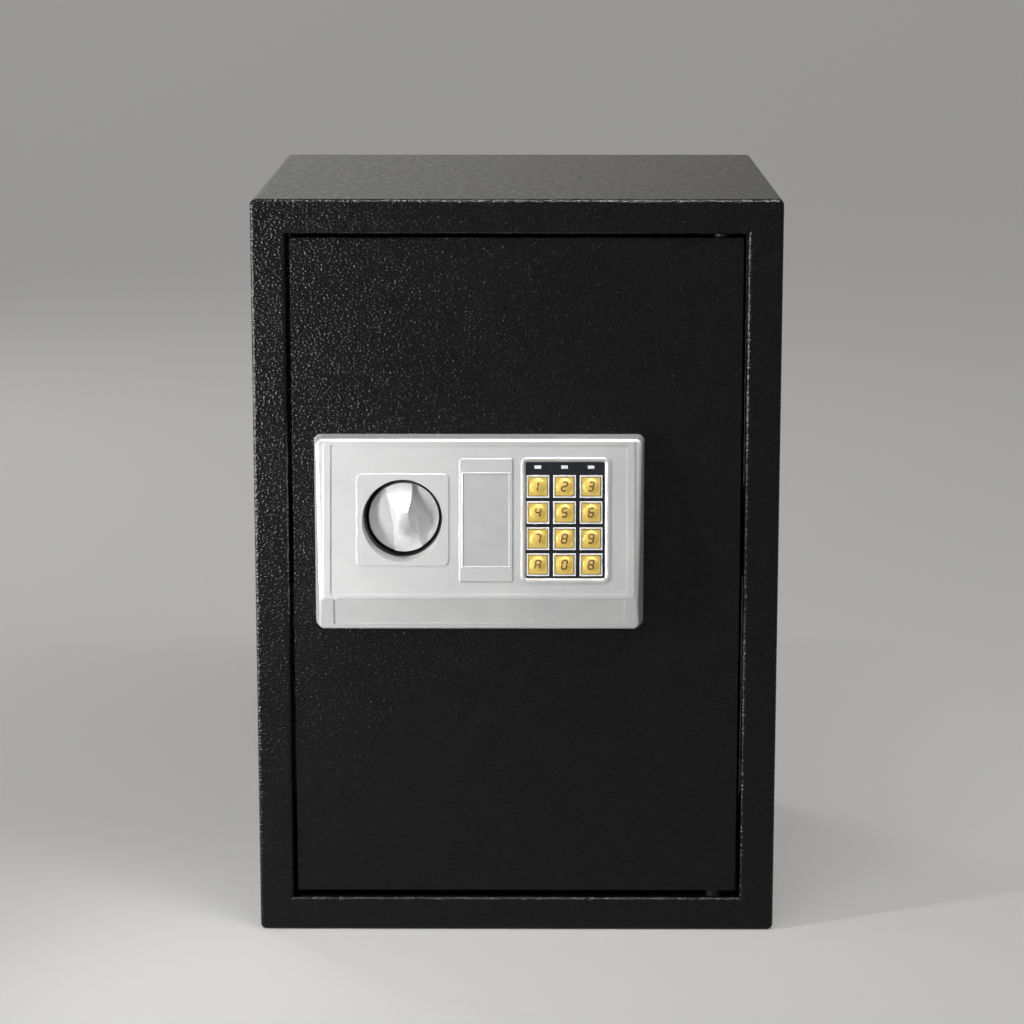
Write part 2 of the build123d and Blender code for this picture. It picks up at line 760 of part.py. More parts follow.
def lock_panel():
    """Moulded wedge-shaped panel: rim, knob pad and well, cover pocket, keypad bezel and lower band."""
    panel = panel_wedge(0)
    outward = Axis((0, 0, 0), face_plane(panel_x, ridge_z).z_dir)
    face = panel.faces().sort_by(outward)[-1]
    band_normal = Vector(0, -cos(radians(band_tilt)), -sin(radians(band_tilt)))
    band = panel.faces().sort_by(Axis((0, 0, 0), band_normal))[-1]
    upper_edges = face.edges().sort_by(Axis.Z)[1:]
    lower_edges = band.edges().sort_by(Axis.Z)[:-1]
    panel = fillet(upper_edges + lower_edges, panel_edge_radius)

    # rim, pad and bezel stand on the sloping face
    rim_z, rim_length = face_middle(rim_bottom_margin, rim_top_margin)
    side_draft = panel_depth_at_ridge * tan(radians(panel_draft))
    rim_width = panel_width - 2 * side_draft - 2 * rim_side_margin
    rim = rounded_pad(panel_x, rim_z, rim_width, rim_length, rim_corner_radius, rim_height, rim_root)
    field = RectangleRounded(
        rim_width - 2 * rim_side_width, rim_length - 2 * rim_end_width, rim_inner_radius
    )
    rim -= extrude(face_plane(panel_x, rim_z, -rim_root) * field, rim_root + rim_height + overrun)
    panel += rim
    pad_size = (knob_pad_size, knob_pad_size)
    panel += rounded_pad(pad_x, pad_z, *pad_size, knob_pad_corner_radius, knob_pad_height, pad_root)
    bezel_size = (bezel_width, bezel_length)
    panel += rounded_pad(
        keypad_x, keypad_z, *bezel_size, bezel_corner_radius, bezel_height, pad_root
    )

    # shallow recess along the lower band
    band_length = panel_ridge_height / cos(radians(band_tilt)) - band_top_margin - band_bottom_margin
    along = (band_top_margin + band_length / 2) * cos(radians(band_tilt))
    depth = panel_depth_at_ridge - along * tan(radians(band_tilt))
    band_centre = (panel_x, door_front_y - depth, ridge_z - along)
    band_middle = Plane(origin=band_centre, x_dir=(1, 0, 0), z_dir=band_normal)
    recess = Rectangle(panel_width - 2 * band_side_margin, band_length)
    panel -= extrude(band_middle * recess, band_recess_depth, both=True)
    shell_outside = panel

    # hollow it from behind, then put back the well and the screw bosses
    panel -= panel_wedge(panel_wall)
    to_ridge = (door_front_y - panel_depth_at_ridge, door_front_y)
    floor_y = door_front_y - knob_well_floor
    panel += well_cone(knob_well_wall, floor_y + knob_well_wall) & shell_outside
    for x, z in panel_screw_places():
        panel += rod_along_y(x, z, boss_radius, to_ridge) & shell_outside
    hole_end = door_front_y - panel_screw_reach - panel_screw_hole_room
    for x, z in panel_screw_places():
        screw_hole = (hole_end, door_front_y + overrun)
        panel -= rod_along_y(x, z, panel_screw_radius + press_clearance, screw_hole)
    panel -= well_cone(0, floor_y)
    panel -= rod_along_y(knob_x, knob_z, bush_head_radius + bush_head_clearance, to_ridge)

    # pocket and window for the centre cover
    pocket = RectangleRounded(
        cover_width + 2 * cover_fit, cover_length + 2 * cover_fit, cover_corner_radius + cover_fit
    )
    pocket_floor = cover_proud - cover_thickness - cover_fit
    panel -= extrude(face_plane(key_lock_x, keypad_z, pocket_floor) * pocket, overrun - pocket_floor)
    window = Rectangle(cover_window_width, cover_window_length)
    panel -= extrude(face_plane(key_lock_x, keypad_z) * window, panel_wall + overrun, both=True)

    # pocket and window for the keypad, opening out to the front of the bezel
    plate = plate_outline(0)
    panel -= extrude(face_plane(keypad_x, keypad_z, plate_rear) * plate, plate_front - plate_rear)
    bevel_height = keypad_plate_drop + overrun
    panel -= extrude(face_plane(keypad_x, keypad_z, plate_front) * plate, bevel_height, taper=-bezel_bevel)
    window = plate_outline(keypad_ledge)
    panel -= extrude(face_plane(keypad_x, keypad_z) * window, panel_wall + overrun, both=True)
    return panel


def key_cover():
    """Pull-off cover over the key lock: a bordered plate with a clip at each end."""
    back = cover_proud - cover_thickness
    outline = RectangleRounded(cover_width, cover_length, cover_corner_radius)
    cover = extrude(face_plane(key_lock_x, keypad_z, back) * outline, cover_thickness)
    normal = Axis((0, 0, 0), face_plane(key_lock_x, keypad_z).z_dir)
    cover = fillet(cover.faces().sort_by(normal)[-1].edges(), cover_edge_radius)
    inlay = Rectangle(inlay_width, inlay_length)
    inlay_floor = face_plane(key_lock_x, keypad_z, cover_proud - inlay_depth)
    cover -= extrude(inlay_floor * inlay, inlay_depth + overrun)
    for end in (-1, 1):
        reach = end * (cover_window_length / 2 - cover_fit - clip_thickness / 2)
        clip = Pos(0, reach) * Rectangle(clip_length, clip_thickness)
        tip = face_plane(key_lock_x, keypad_z, back - clip_depth)
        cover += extrude(tip * clip, clip_depth + clip_root)
    return cover


def cover_inlay():
    """Bare satin plate laid in the centre cover."""
    sketch = Rectangle(inlay_width - 2 * press_clearance, inlay_length - 2 * press_clearance)
    return extrude(face_plane(key_lock_x, keypad_z, cover_proud - inlay_depth) * sketch, inlay_thickness)


# ---------------------------------------------------------------- keypad
def plate_outline(inset):
    """The keypad's rounded outline inside the bezel, drawn in by a distance."""
    return RectangleRounded(
        bezel_width - 2 * bezel_border - 2 * inset,
        bezel_length - 2 * bezel_border - 2 * inset,
        max(bezel_corner_radius - bezel_border - inset, panel_inner_corner_radius),
    )


def column_place(column):
    return (column - (key_columns - 1) / 2) * key_column_pitch - key_columns_left_of_centre


def row_place(row):
    return ((key_rows - 1) / 2 - row) * key_row_pitch - key_rows_below_centre


def key_places():
    """Each key's name and centre, counted from the keypad's middle along the sloping face."""
    places = []
    for index, name in enumerate(key_names):
        places.append((name, column_place(index % key_columns), row_place(index // key_columns)))
    return places


def indicator_places():
    return [(column_place(column), row_place(0) + indicator_above_keys) for column in range(key_columns)]


def keypad_plate():
    """Black plate in the bezel, pierced for twelve keys and three indicators."""
    outline = plate_outline(keypad_fit)
    for _, across, up in key_places():
        outline -= Pos(across, up) * Rectangle(key_size + 2 * key_gap, key_size + 2 * key_gap)
    slit = Rectangle(indicator_width + 2 * indicator_gap, indicator_height + 2 * indicator_gap)
    for across, up in indicator_places():
        outline -= Pos(across, up) * slit
    return extrude(face_plane(keypad_x, keypad_z, plate_rear) * outline, keypad_plate_thickness)


def key_cap(across, up):
    """Square key with a low round dome and a flange that keeps it behind the plate."""
    cap_top = plate_front + key_proud
    centre = Pos(across, up)
    flange_rear = face_plane(keypad_x, keypad_z, flange_front - key_flange_thickness)
    cap = extrude(flange_rear * centre * Rectangle(key_flange, key_flange), key_flange_thickness)
    body = RectangleRounded(key_size, key_size, key_corner_radius)
    cap += extrude(face_plane(keypad_x, keypad_z, flange_front) * centre * body, cap_top - flange_front)
    ball_radius = (key_dome_radius**2 + key_dome_height**2) / (2 * key_dome_height)
    middle = face_plane(keypad_x, keypad_z, cap_top + key_dome_height - ball_radius)
    ball = middle.location * Pos(across, up, 0) * Sphere(ball_radius)
    round_top = centre * Circle(key_dome_radius)
    above = extrude(face_plane(keypad_x, keypad_z, cap_top) * round_top, 2 * key_dome_height)
    return cap + (ball & above)


def keypad_mat():
    """Silicone switch mat behind the keys."""
    sketch = Rectangle(bezel_width - 2 * bezel_border, bezel_length - 2 * bezel_border)
    return extrude(face_plane(keypad_x, keypad_z, mat_rear) * sketch, rubber_mat_thickness)


def keypad_board():
    """Circuit board behind the mat, with its chip and sounder."""
    sketch = Rectangle(bezel_width - 2 * bezel_border + 2 * board_margin, bezel_length - 2 * bezel_border)
    board = extrude(face_plane(keypad_x, keypad_z, board_rear) * sketch, board_thickness)
    chip = Pos(*chip_place) * Rectangle(*chip_size)
    board += extrude(face_plane(keypad_x, keypad_z, board_rear - chip_height) * chip, chip_height)
    sounder = Pos(*sounder_place) * Circle(sounder_radius)
    sounder_end = face_plane(keypad_x, keypad_z, board_rear - sounder_height)
    board += extrude(sounder_end * sounder, sounder_height)
    return board


def indicator_lenses():
    lenses = []
    for across, up in indicator_places():
        sketch = Pos(across, up) * Rectangle(indicator_width, indicator_height)
        lenses.append(extrude(face_plane(keypad_x, keypad_z, mat_front) * sketch, plate_front - mat_front))
    return lenses


# ---------------------------------------------------------------- knob, spindle and cam
def knob():
    """Round knob in the well: a flat disc with a waisted grip left between two scooped flanks."""
    face = door_front_y - knob_disc_front
    rear = face + knob_disc_thickness
    turn = Pos(knob_x, 0, knob_z) * Rot(0, -knob_rest_tilt, 0)
    end = knob_radius - grip_end_inset
    crest = Spline(
        (0, grip_height),
        *[(out * end, up * grip_height) for out, up in grip_crest_shares],
        (end, grip_end_height),
        tangents=((1, 0), (1, -grip_end_slope)),
    )
    profile = Polyline((end, grip_end_height), (end, 0), (0, 0), (0, grip_height)) + crest
    hump = revolve(make_face(Plane.XZ * profile), Axis.Z)
    base_radius = grip_scoop_radius - grip_height * tan(radians(grip_scoop_draft))
    for side in (-1, 1):
        place = Pos(side * (grip_crest_width / 2 + grip_scoop_radius), 0, grip_height / 2)
        hump -= place * Cone(base_radius, grip_scoop_radius, grip_height)
    hump = Pos(0, face, 0) * Rot(90, 0, 0) * hump
    disc = rod_along_y(0, 0, knob_radius, (face, rear))
    front_rim = disc.edges().filter_by(GeomType.CIRCLE).sort_by(Axis.Y)[0]
    disc = fillet(front_rim, knob_disc_edge_radius)
    boss = rod_along_y(0, 0, knob_boss_radius, (rear, door_front_y - bush_head_thickness - plate_gap))
    bore = rod_along_y(0, 0, spindle_radius + press_clearance, (face + knob_front_wall, door_front_y))
    return turn * (disc + hump + boss - bore)


def knob_spindle():
    """Steel spindle from the knob through the door to the cam."""
    front = door_front_y - knob_disc_front + knob_front_wall + spindle_end_gap
    spindle = rod_along_y(knob_x, knob_z, spindle_radius, (front, cam_back_y))
    return chamfer(spindle.edges().filter_by(GeomType.CIRCLE), spindle_chamfer)


def spindle_bush():
    """Flanged bush pressed into the door."""
    bush = rod_along_y(knob_x, knob_z, bush_radius, (door_front_y, mechanism_back_y))
    head_front = door_front_y - bush_head_thickness
    bush += rod_along_y(knob_x, knob_z, bush_head_radius, (head_front, door_front_y))
    through = (head_front - overrun, mechanism_back_y + overrun)
    return bush - rod_along_y(knob_x, knob_z, spindle_radius + spindle_running_clearance, through)


def drive_cam():
    """Cam arm on the spindle; its pin works in the carriage's upright slot."""
    pin_across = drive_pin_x - knob_x
    pin_up = drive_pin_z - knob_z
    arm = Circle(cam_hub_radius) + Pos(pin_across, pin_up) * Circle(drive_pin_radius + cam_pin_land)
    arm = make_hull(arm.edges())
    cam = extrude(front_plane(cam_back_y, knob_x, knob_z) * arm, cam_thickness)
    pin = (cam_back_y, carriage_back_y + drive_pin_past_carriage)
    cam += rod_along_y(drive_pin_x, drive_pin_z, drive_pin_radius, pin)
    through = (cam_front_y - overrun, cam_back_y + overrun)
    return cam - rod_along_y(knob_x, knob_z, spindle_radius + press_clearance, through)


# ---------------------------------------------------------------- bolt work
def stud_places():
    """Guide studs, on the carriage's upper and lower edges; the carriage is drawn in here."""
    inset = stud_head_radius + stud_margin
    left = bolt_root_x + carriage_sheet + inset
    return [(left, carriage_top - inset), (left + lower_stud_shift, carriage_bottom + inset)]


def guide_studs():
    studs = []
    for x, z in stud_places():
        stud = rod_along_y(x, z, stud_shoulder_radius, (mechanism_back_y, carriage_front_y - plate_gap))
        stud += rod_along_y(x, z, stud_radius, (mechanism_back_y, carriage_back_y + plate_gap))
        head = (carriage_back_y + plate_gap, carriage_back_y + plate_gap + stud_head_thickness)
        studs.append(stud + rod_along_y(x, z, stud_head_radius, head))
    return studs


def bolt_carriage():
    """Sliding plate that joins the bolts: cam slot, two guide slots, end flange and blocking lug."""
    left = bolt_root_x
    flange_half = bolt_spacing / 2 + bolt_radius + carriage_flange_margin
    flange_z = (knob_z - flange_half, knob_z + flange_half)
    gusset = carriage_gusset
    outline = Polyline(
        (left, knob_z - flange_half),
        (left + gusset, knob_z - flange_half),
        (left + gusset, carriage_bottom - gusset),
        (left + 2 * gusset, carriage_bottom),
        (carriage_right, carriage_bottom),
        (carriage_right, carriage_top),
        (lug_left + lug_width, carriage_top),
        (lug_left + lug_width, carriage_top + lug_height),
        (lug_left, carriage_top + lug_height),
        (lug_left, carriage_top),
        (left + 2 * gusset, carriage_top),
        (left + gusset, carriage_top + gusset),
        (left + gusset, knob_z + flange_half),
        (left, knob_z + flange_half),
        close=True,
    )
    plate = extrude(make_face(front_plane(carriage_back_y) * outline), carriage_sheet)
    plate += slab((left, left + carriage_sheet), (carriage_front_y, bolt_y + bolt_radius), flange_z)
    slot_low = drive_pin_z - drive_pin_radius - drive_slot_clearance
    slot_high = knob_z + drive_pin_circle + drive_pin_radius + drive_slot_clearance
    slot_half = drive_pin_radius + drive_slot_clearance
    through = (carriage_front_y - overrun, carriage_back_y + overrun)
    plate -= slab((drive_pin_x - slot_half, drive_pin_x + slot_half), through, (slot_low, slot_high))
    for x, z in stud_places():
        half = stud_radius + carriage_slide_clearance
        ends = (x - plate_gap, x + bolt_travel + plate_gap)
        plate -= slab(ends, through, (z - half, z + half))
        for end in ends:
            plate -= rod_along_y(end, z, half, through)
    for side in (-1, 1):
        z = knob_z + side * bolt_spacing / 2
        screw_hole = (left - overrun, left + carriage_sheet + overrun)
        plate -= rod_along_x(bolt_y, z, bolt_screw_radius + screw_clearance, screw_hole)
    return plate


def locking_bolt(side):
    """Round bolt, chamfered at its tip and drilled for its screw."""
    z = knob_z + side * bolt_spacing / 2
    bolt = rod_along_x(bolt_y, z, bolt_radius, (bolt_tip_x, bolt_root_x))
    bolt = chamfer(bolt.edges().filter_by(GeomType.CIRCLE).sort_by(Axis.X)[0], bolt_end_chamfer)
    hole_end = bolt_root_x - bolt_screw_depth - bolt_screw_hole_room
    hole = (hole_end, bolt_root_x + overrun)
    return bolt - rod_along_x(bolt_y, z, bolt_screw_radius + press_clearance, hole)


def bolt_screws():
    """Two screws through the carriage's flange into the bolts."""
    screws = []
    face = bolt_root_x + carriage_sheet
    for side in (-1, 1):
        z = knob_z + side * bolt_spacing / 2
        screw = rod_along_x(bolt_y, z, bolt_screw_radius, (bolt_root_x - bolt_screw_depth, face))
        head = rod_along_x(bolt_y, z, bolt_screw_head_radius, (face, face + bolt_screw_head_height))
        rim = head.edges().filter_by(GeomType.CIRCLE).sort_by(Axis.X)[-1]
        screws.append(screw + fillet(rim, bolt_screw_head_rounding))
    return screws


def bolt_guide():
    """Upright welded behind the door's free edge, bored for the two bolts."""
    upright = (guide_left, guide_left + guide_sheet)
    half = bolt_spacing / 2 + bolt_radius + guide_end_margin
    z_range = (knob_z - half, knob_z + half)
    guide = slab(upright, (door_back_y, bolt_y + bolt_radius + guide_back_margin), z_range)
    through = (upright[0] - overrun, upright[1] + overrun)
    for side in (-1, 1):
        z = knob_z + side * bolt_spacing / 2
        guide -= rod_along_x(bolt_y, z, bolt_radius + bolt_running_clearance, through)
    return guide


def mechanism_plate():
    """Chassis plate screwed behind the door; it carries the guide studs and the solenoid."""
    x_range = (case_left + case_sheet + chassis_side_gap, chassis_right)
    plate = slab(x_range, (door_back_y, mechanism_back_y), (chassis_bottom, chassis_top))
    plate = fillet(plate.edges().filter_by(Axis.Y), chassis_corner_radius)
    through = (door_back_y - overrun, mechanism_back_y + overrun)
    plate -= rod_along_y(knob_x, knob_z, bush_radius + press_clearance, through)
    plate -= rod_along_y(key_lock_x, knob_z, cylinder_radius + press_clearance, through)
    for x, z in panel_screw_places():
        plate -= rod_along_y(x, z, screw_head_radius + screw_head_clearance, through)
    for x, z in mechanism_screw_places():
        plate -= rod_along_y(x, z, panel_screw_radius + press_clearance, through)
    return plate


def mechanism_screw_places():
    left = case_left + case_sheet + chassis_side_gap + chassis_screw_inset
    right = chassis_right - chassis_screw_inset
    low = chassis_bottom + chassis_screw_rise
    high = chassis_top - chassis_screw_inset
    return [(left, low), (left, high), (right, low), (right, high)]


def mechanism_screws():
    """Four screws that hold the chassis plate on the welded nuts of the door."""
    return small_screws(mechanism_screw_places(), mechanism_back_y, door_back_y)


# ---------------------------------------------------------------- solenoid
def solenoid_frame():
    """U-shaped iron frame round the coil, its back on the chassis plate."""
    half = coil_radius + solenoid_side
    x_range = (plunger_x - half, plunger_x + half)
    back = (mechanism_back_y, mechanism_back_y + solenoid_sheet)
    top = coil_top + solenoid_sheet
    frame = slab(x_range, back, (solenoid_bottom, top))
    ends_y = (mechanism_back_y, plunger_y + coil_radius)
    frame += slab(x_range, ends_y, (solenoid_bottom, coil_bottom))
    frame += slab(x_range, ends_y, (coil_top, top))
    hole = (solenoid_bottom - overrun, coil_bottom + overrun)
    return frame - rod_along_z(plunger_x, plunger_y, plunger_radius + coil_bore_clearance, hole)


def solenoid_coil():
    coil = rod_along_z(plunger_x, plunger_y, coil_radius, (coil_bottom, coil_top))
    bore = (coil_bottom - overrun, coil_top + overrun)
    return coil - rod_along_z(plunger_x, plunger_y, plunger_radius + coil_bore_clearance, bore)


def solenoid_plunger():
    """Blocking plunger, shown pulled up; its collar takes the spring."""
    plunger = rod_along_z(plunger_x, plunger_y, plunger_radius, (plunger_tip, coil_top - plunger_top_room))
    plunger = chamfer(plunger.edges().filter_by(GeomType.CIRCLE), plunger_chamfer)
    collar = (collar_bottom, collar_bottom + plunger_collar_thickness)
    return plunger + rod_along_z(plunger_x, plunger_y, plunger_collar_radius, collar)


def solenoid_spring():
    """Light spring between the collar and the frame."""
    seat = spring_wire / 2 + spring_seat_gap
    low = collar_bottom + plunger_collar_thickness + seat
    rise = solenoid_bottom - seat - low
    coil = Helix(rise / spring_turns, rise, spring_radius - spring_wire / 2)
    path = Pos(plunger_x, plunger_y, low) * coil
    start = Plane(origin=path.position_at(0), z_dir=path.tangent_at(0))
    section = start * RegularPolygon(spring_wire / 2, wire_sides)
    return sweep(section, path=path, is_frenet=True)


# ---------------------------------------------------------------- emergency key lock
def lock_cylinder():
    """Threaded lock body through the door, with its hexagon nut."""
    front = door_front_y - cylinder_front
    body = rod_along_y(key_lock_x, knob_z, cylinder_radius, (front, front + cylinder_length))
    head = rod_along_y(key_lock_x, knob_z, cylinder_head_radius, (front, front + cylinder_head_thickness))
    body += chamfer(head.edges().filter_by(GeomType.CIRCLE).sort_by(Axis.Y)[0], cylinder_head_chamfer)
    nut = RegularPolygon(cylinder_nut_size / 2, 6, major_radius=False)
    nut_back = front_plane(mechanism_back_y + cylinder_nut_thickness, key_lock_x, knob_z)
    body += extrude(nut_back * nut, cylinder_nut_thickness)
    bore = (front - overrun, front + cylinder_length + overrun)
    return body - rod_along_y(key_lock_x, knob_z, plug_radius + plug_running_clearance, bore)


def lock_plug():
    """Turning plug with its key slot in front and its tail cam behind."""
    front = door_front_y - cylinder_front + plug_set_back
    rear = front + cylinder_length
    plug = rod_along_y(key_lock_x, knob_z, plug_radius, (front, rear))
    slot_x = (key_lock_x - key_slot_width / 2, key_lock_x + key_slot_width / 2)
    slot_z = (knob_z - key_slot_height / 2, knob_z + key_slot_height / 2)
    plug -= slab(slot_x, (front - overrun, front + key_slot_depth), slot_z)
    tip = Pos(tail_cam_length - tail_cam_width / 2, 0) * Circle(tail_cam_width / 2)
    tail = Circle(tail_cam_width / 2 + tail_cam_hub_margin) + tip
    tail = make_hull(tail.edges())
    cam_back = front_plane(rear + tail_cam_thickness, key_lock_x, knob_z)
    return plug + extrude(cam_back * tail, tail_cam_thickness)


# ---------------------------------------------------------------- inner lock case and what it holds
def case_screw_places():
    xs = (case_left + case_tab_from_side, case_right - case_tab_from_side)
    zs = (case_bottom - case_tab_height / 2, case_top + case_tab_height / 2)
    return [(x, z) for x in xs for z in zs]


def lock_case():
    """Folded steel box over the lock work, screwed to the door through four tabs."""
    case = slab((case_left, case_right), (door_back_y, case_back_y), (case_bottom, case_top))
    case = fillet(case.edges().filter_by(Axis.Y), case_corner_radius)
    case = fillet(case.faces().sort_by(Axis.Y)[-1].edges(), case_back_radius)
    room_x = (case_left + case_sheet, case_right - case_sheet)
    room_z = (case_bottom + case_sheet, case_top - case_sheet)
    room = slab(room_x, (door_back_y - overrun, case_inner_y), room_z)
    tab_y = (door_back_y, door_back_y + case_sheet)
    for x, z in case_screw_places():
        tab_x = (x - case_tab_width / 2, x + case_tab_width / 2)
        if z < case_bottom:
            case += slab(tab_x, tab_y, (z - case_tab_height / 2, room_z[0]))
        else:
            case += slab(tab_x, tab_y, (room_z[1], z + case_tab_height / 2))
    case -= room
    for x, z in case_screw_places():
        hole = (tab_y[0] - overrun, tab_y[1] + overrun)
        case -= rod_along_y(x, z, panel_screw_radius + press_clearance, hole)
    window_x = (tray_left - tray_fit, tray_right + tray_fit)
    window_z = (tray_bottom - tray_fit, tray_top + tray_fit)
    through_back = (case_inner_y - overrun, case_back_y + overrun)
    case -= slab(window_x, through_back, window_z)
    case -= rod_along_y(reset_x, reset_z, reset_button_radius + reset_clearance, through_back)
    through_side = (case_left - overrun, case_left + 2 * case_sheet)
    for side in (-1, 1):
        z = knob_z + side * bolt_spacing / 2
        case -= rod_along_x(bolt_y, z, bolt_radius + case_bolt_clearance, through_side)
    return case


def lock_case_screws():
    return small_screws(case_screw_places(), door_back_y + case_sheet, door_back_y)


def battery_places():
    """Centre height of each cell, and which way its nub points."""
    first = tray_bottom + tray_wall + battery_side_room + battery_pitch / 2
    return [(first + n * battery_pitch, 1 if n % 2 == 0 else -1) for n in range(battery_count)]


def battery_tray():
    """Moulded tray let into the lock case, with a flange and two rails for the sliding cover."""
    floor_y = case_back_y - tray_room_y - tray_wall
    tray = slab((tray_left, tray_right), (floor_y, case_back_y), (tray_bottom, tray_top))
    flange_x = (tray_left - tray_flange, tray_right + tray_flange)
    flange_z = (tray_bottom - tray_flange, tray_top + tray_flange)
    tray += slab(flange_x, (case_back_y, tray_back_y), flange_z)
    lip_y = tray_back_y + battery_cover_thickness + 2 * battery_cover_gap
    rail_back = lip_y + tray_wall
    tray += slab(flange_x, (tray_back_y, rail_back), (flange_z[0], tray_bottom - tray_rail_inset))
    tray += slab(flange_x, (tray_back_y, rail_back), (tray_top + tray_rail_inset, flange_z[1]))
    tray += slab(flange_x, (lip_y, rail_back), (flange_z[0], tray_bottom + tray_lip_overlap))
    tray += slab(flange_x, (lip_y, rail_back), (tray_top - tray_lip_overlap, flange_z[1]))
    room_x = (tray_left + tray_wall, tray_right - tray_wall)
    room_z = (tray_bottom + tray_wall, tray_top - tray_wall)
    tray -= slab(room_x, (floor_y + tray_wall, tray_back_y + overrun), room_z)
    return tray


def batteries():
    """Four cylindrical cells side by side, each with its nub."""
    cells = []
    left = tray_left + tray_wall + tray_end_room
    for z, way in battery_places():
        body_left = left if way > 0 else left + battery_nub_length
        cell = rod_along_x(battery_y, z, battery_radius, (body_left, body_left + battery_length))
        cell = chamfer(cell.edges().filter_by(GeomType.CIRCLE), battery_edge_chamfer)
        cell += rod_along_x(battery_y, z, battery_nub_radius, (left, left + cell_length))
        cells.append(cell)
    return cells


def battery_contacts():
    """Sprung metal strips at both ends of each cell, bowed towards it."""
    strips = []
    across = (battery_y - contact_width / 2, battery_y + contact_width / 2)
    button_reach = tray_end_room - contact_gap
    for z, _ in battery_places():
        up = (z - contact_width / 2, z + contact_width / 2)
        for wall, way in ((tray_left + tray_wall, 1), (tray_right - tray_wall, -1)):
            strip = slab(sorted((wall, wall + way * contact_thickness)), across, up)
            button = sorted((wall, wall + way * button_reach))
            strips.append(strip + rod_along_x(battery_y, z, contact_button_radius, button))
    return strips


def battery_cover():
    """Sliding cover with finger ribs."""
    low_y = tray_back_y + battery_cover_gap
    end = tray_flange - battery_cover_end_gap
    edge = tray_rail_inset - tray_fit
    x_range = (tray_left - end, tray_right + end)
    z_range = (tray_bottom - edge, tray_top + edge)
    cover = slab(x_range, (low_y, low_y + battery_cover_thickness), z_range)
    middle = (tray_bottom + tray_top) / 2
    rib_y = (low_y, low_y + battery_cover_thickness + grip_rib_height)
    rib_z = (middle - grip_rib_length / 2, middle + grip_rib_length / 2)
    for n in range(grip_rib_count):
        x = x_range[1] - grip_rib_inset - n * grip_rib_pitch
        cover += slab((x - grip_rib_width / 2, x + grip_rib_width / 2), rib_y, rib_z)
    return cover


def reset_switch():
    """Small switch body behind the hole for the code button."""
    half = reset_switch_size / 2
    depth = (case_inner_y - reset_switch_depth, case_inner_y)
    body = slab((reset_x - half, reset_x + half), depth, (reset_z - half, reset_z + half))
    room = reset_flange_thickness + reset_travel + 2 * reset_clearance
    hole = (case_inner_y - room, case_inner_y + overrun)
    return body - rod_along_y(reset_x, reset_z, reset_flange_radius + reset_clearance, hole)


def reset_button():
    """Button that a finger presses to set a new code; its flange stays behind the case."""
    flange = (case_inner_y - reset_clearance - reset_flange_thickness, case_inner_y - reset_clearance)
    button = rod_along_y(reset_x, reset_z, reset_button_radius, (flange[0], case_back_y + reset_proud))
    rim = button.edges().filter_by(GeomType.CIRCLE).sort_by(Axis.Y)[-1]
    button = fillet(rim, reset_edge_radius)
    return button + rod_along_y(reset_x, reset_z, reset_flange_radius, flange)


# ---------------------------------------------------------------- write the nodes
os.makedirs("parts", exist_ok=True)

save("front_frame", front_frame())
save("cabinet_wrap", cabinet_wrap())
save("rear_panel", rear_panel())
save("floor_mat", floor_mat())
save("shelf", shelf())
save("shelf_clips", *shelf_clips())
save("hinge_bracket_bottom", hinge_bracket_bottom())
save("hinge_bracket_top", hinge_bracket_top())
save("thrust_washer", thrust_washer())
save("hinge_blocks", *hinge_blocks())
save("hinge_pins", *hinge_pins())
save("door_plate", door_plate())

save("lock_panel", lock_panel())
save("panel_screws", *panel_screws())
save("key_cover", key_cover())
save("cover_inlay", cover_inlay())
save("keypad_plate", keypad_plate())
for key_name, key_across, key_up in key_places():
    save(f"key_{key_name}", key_cap(key_across, key_up))
save("keypad_mat", keypad_mat())
save("keypad_board", keypad_board())
save("indicator_lenses", *indicator_lenses())

save("knob", knob())
save("knob_spindle", knob_spindle())
save("spindle_bush", spindle_bush())
save("drive_cam", drive_cam())
save("bolt_carriage", bolt_carriage())
save("upper_bolt", locking_bolt(1))
save("lower_bolt", locking_bolt(-1))
save("bolt_screws", *bolt_screws())
save("bolt_guide", bolt_guide())
save("guide_studs", *guide_studs())
save("mechanism_plate", mechanism_plate())
save("mechanism_screws", *mechanism_screws())
save("solenoid_frame", solenoid_frame())
save("solenoid_coil", solenoid_coil())
save("solenoid_plunger", solenoid_plunger())
save("solenoid_spring", solenoid_spring())
save("lock_cylinder", lock_cylinder())
save("lock_plug", lock_plug())

save("lock_case", lock_case())
save("lock_case_screws", *lock_case_screws())
save("battery_tray", battery_tray())
save("batteries", *batteries())
save("battery_contacts", *battery_contacts())
save("battery_cover", battery_cover())
save("reset_switch", reset_switch())
save("reset_button", reset_button())
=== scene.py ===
import math

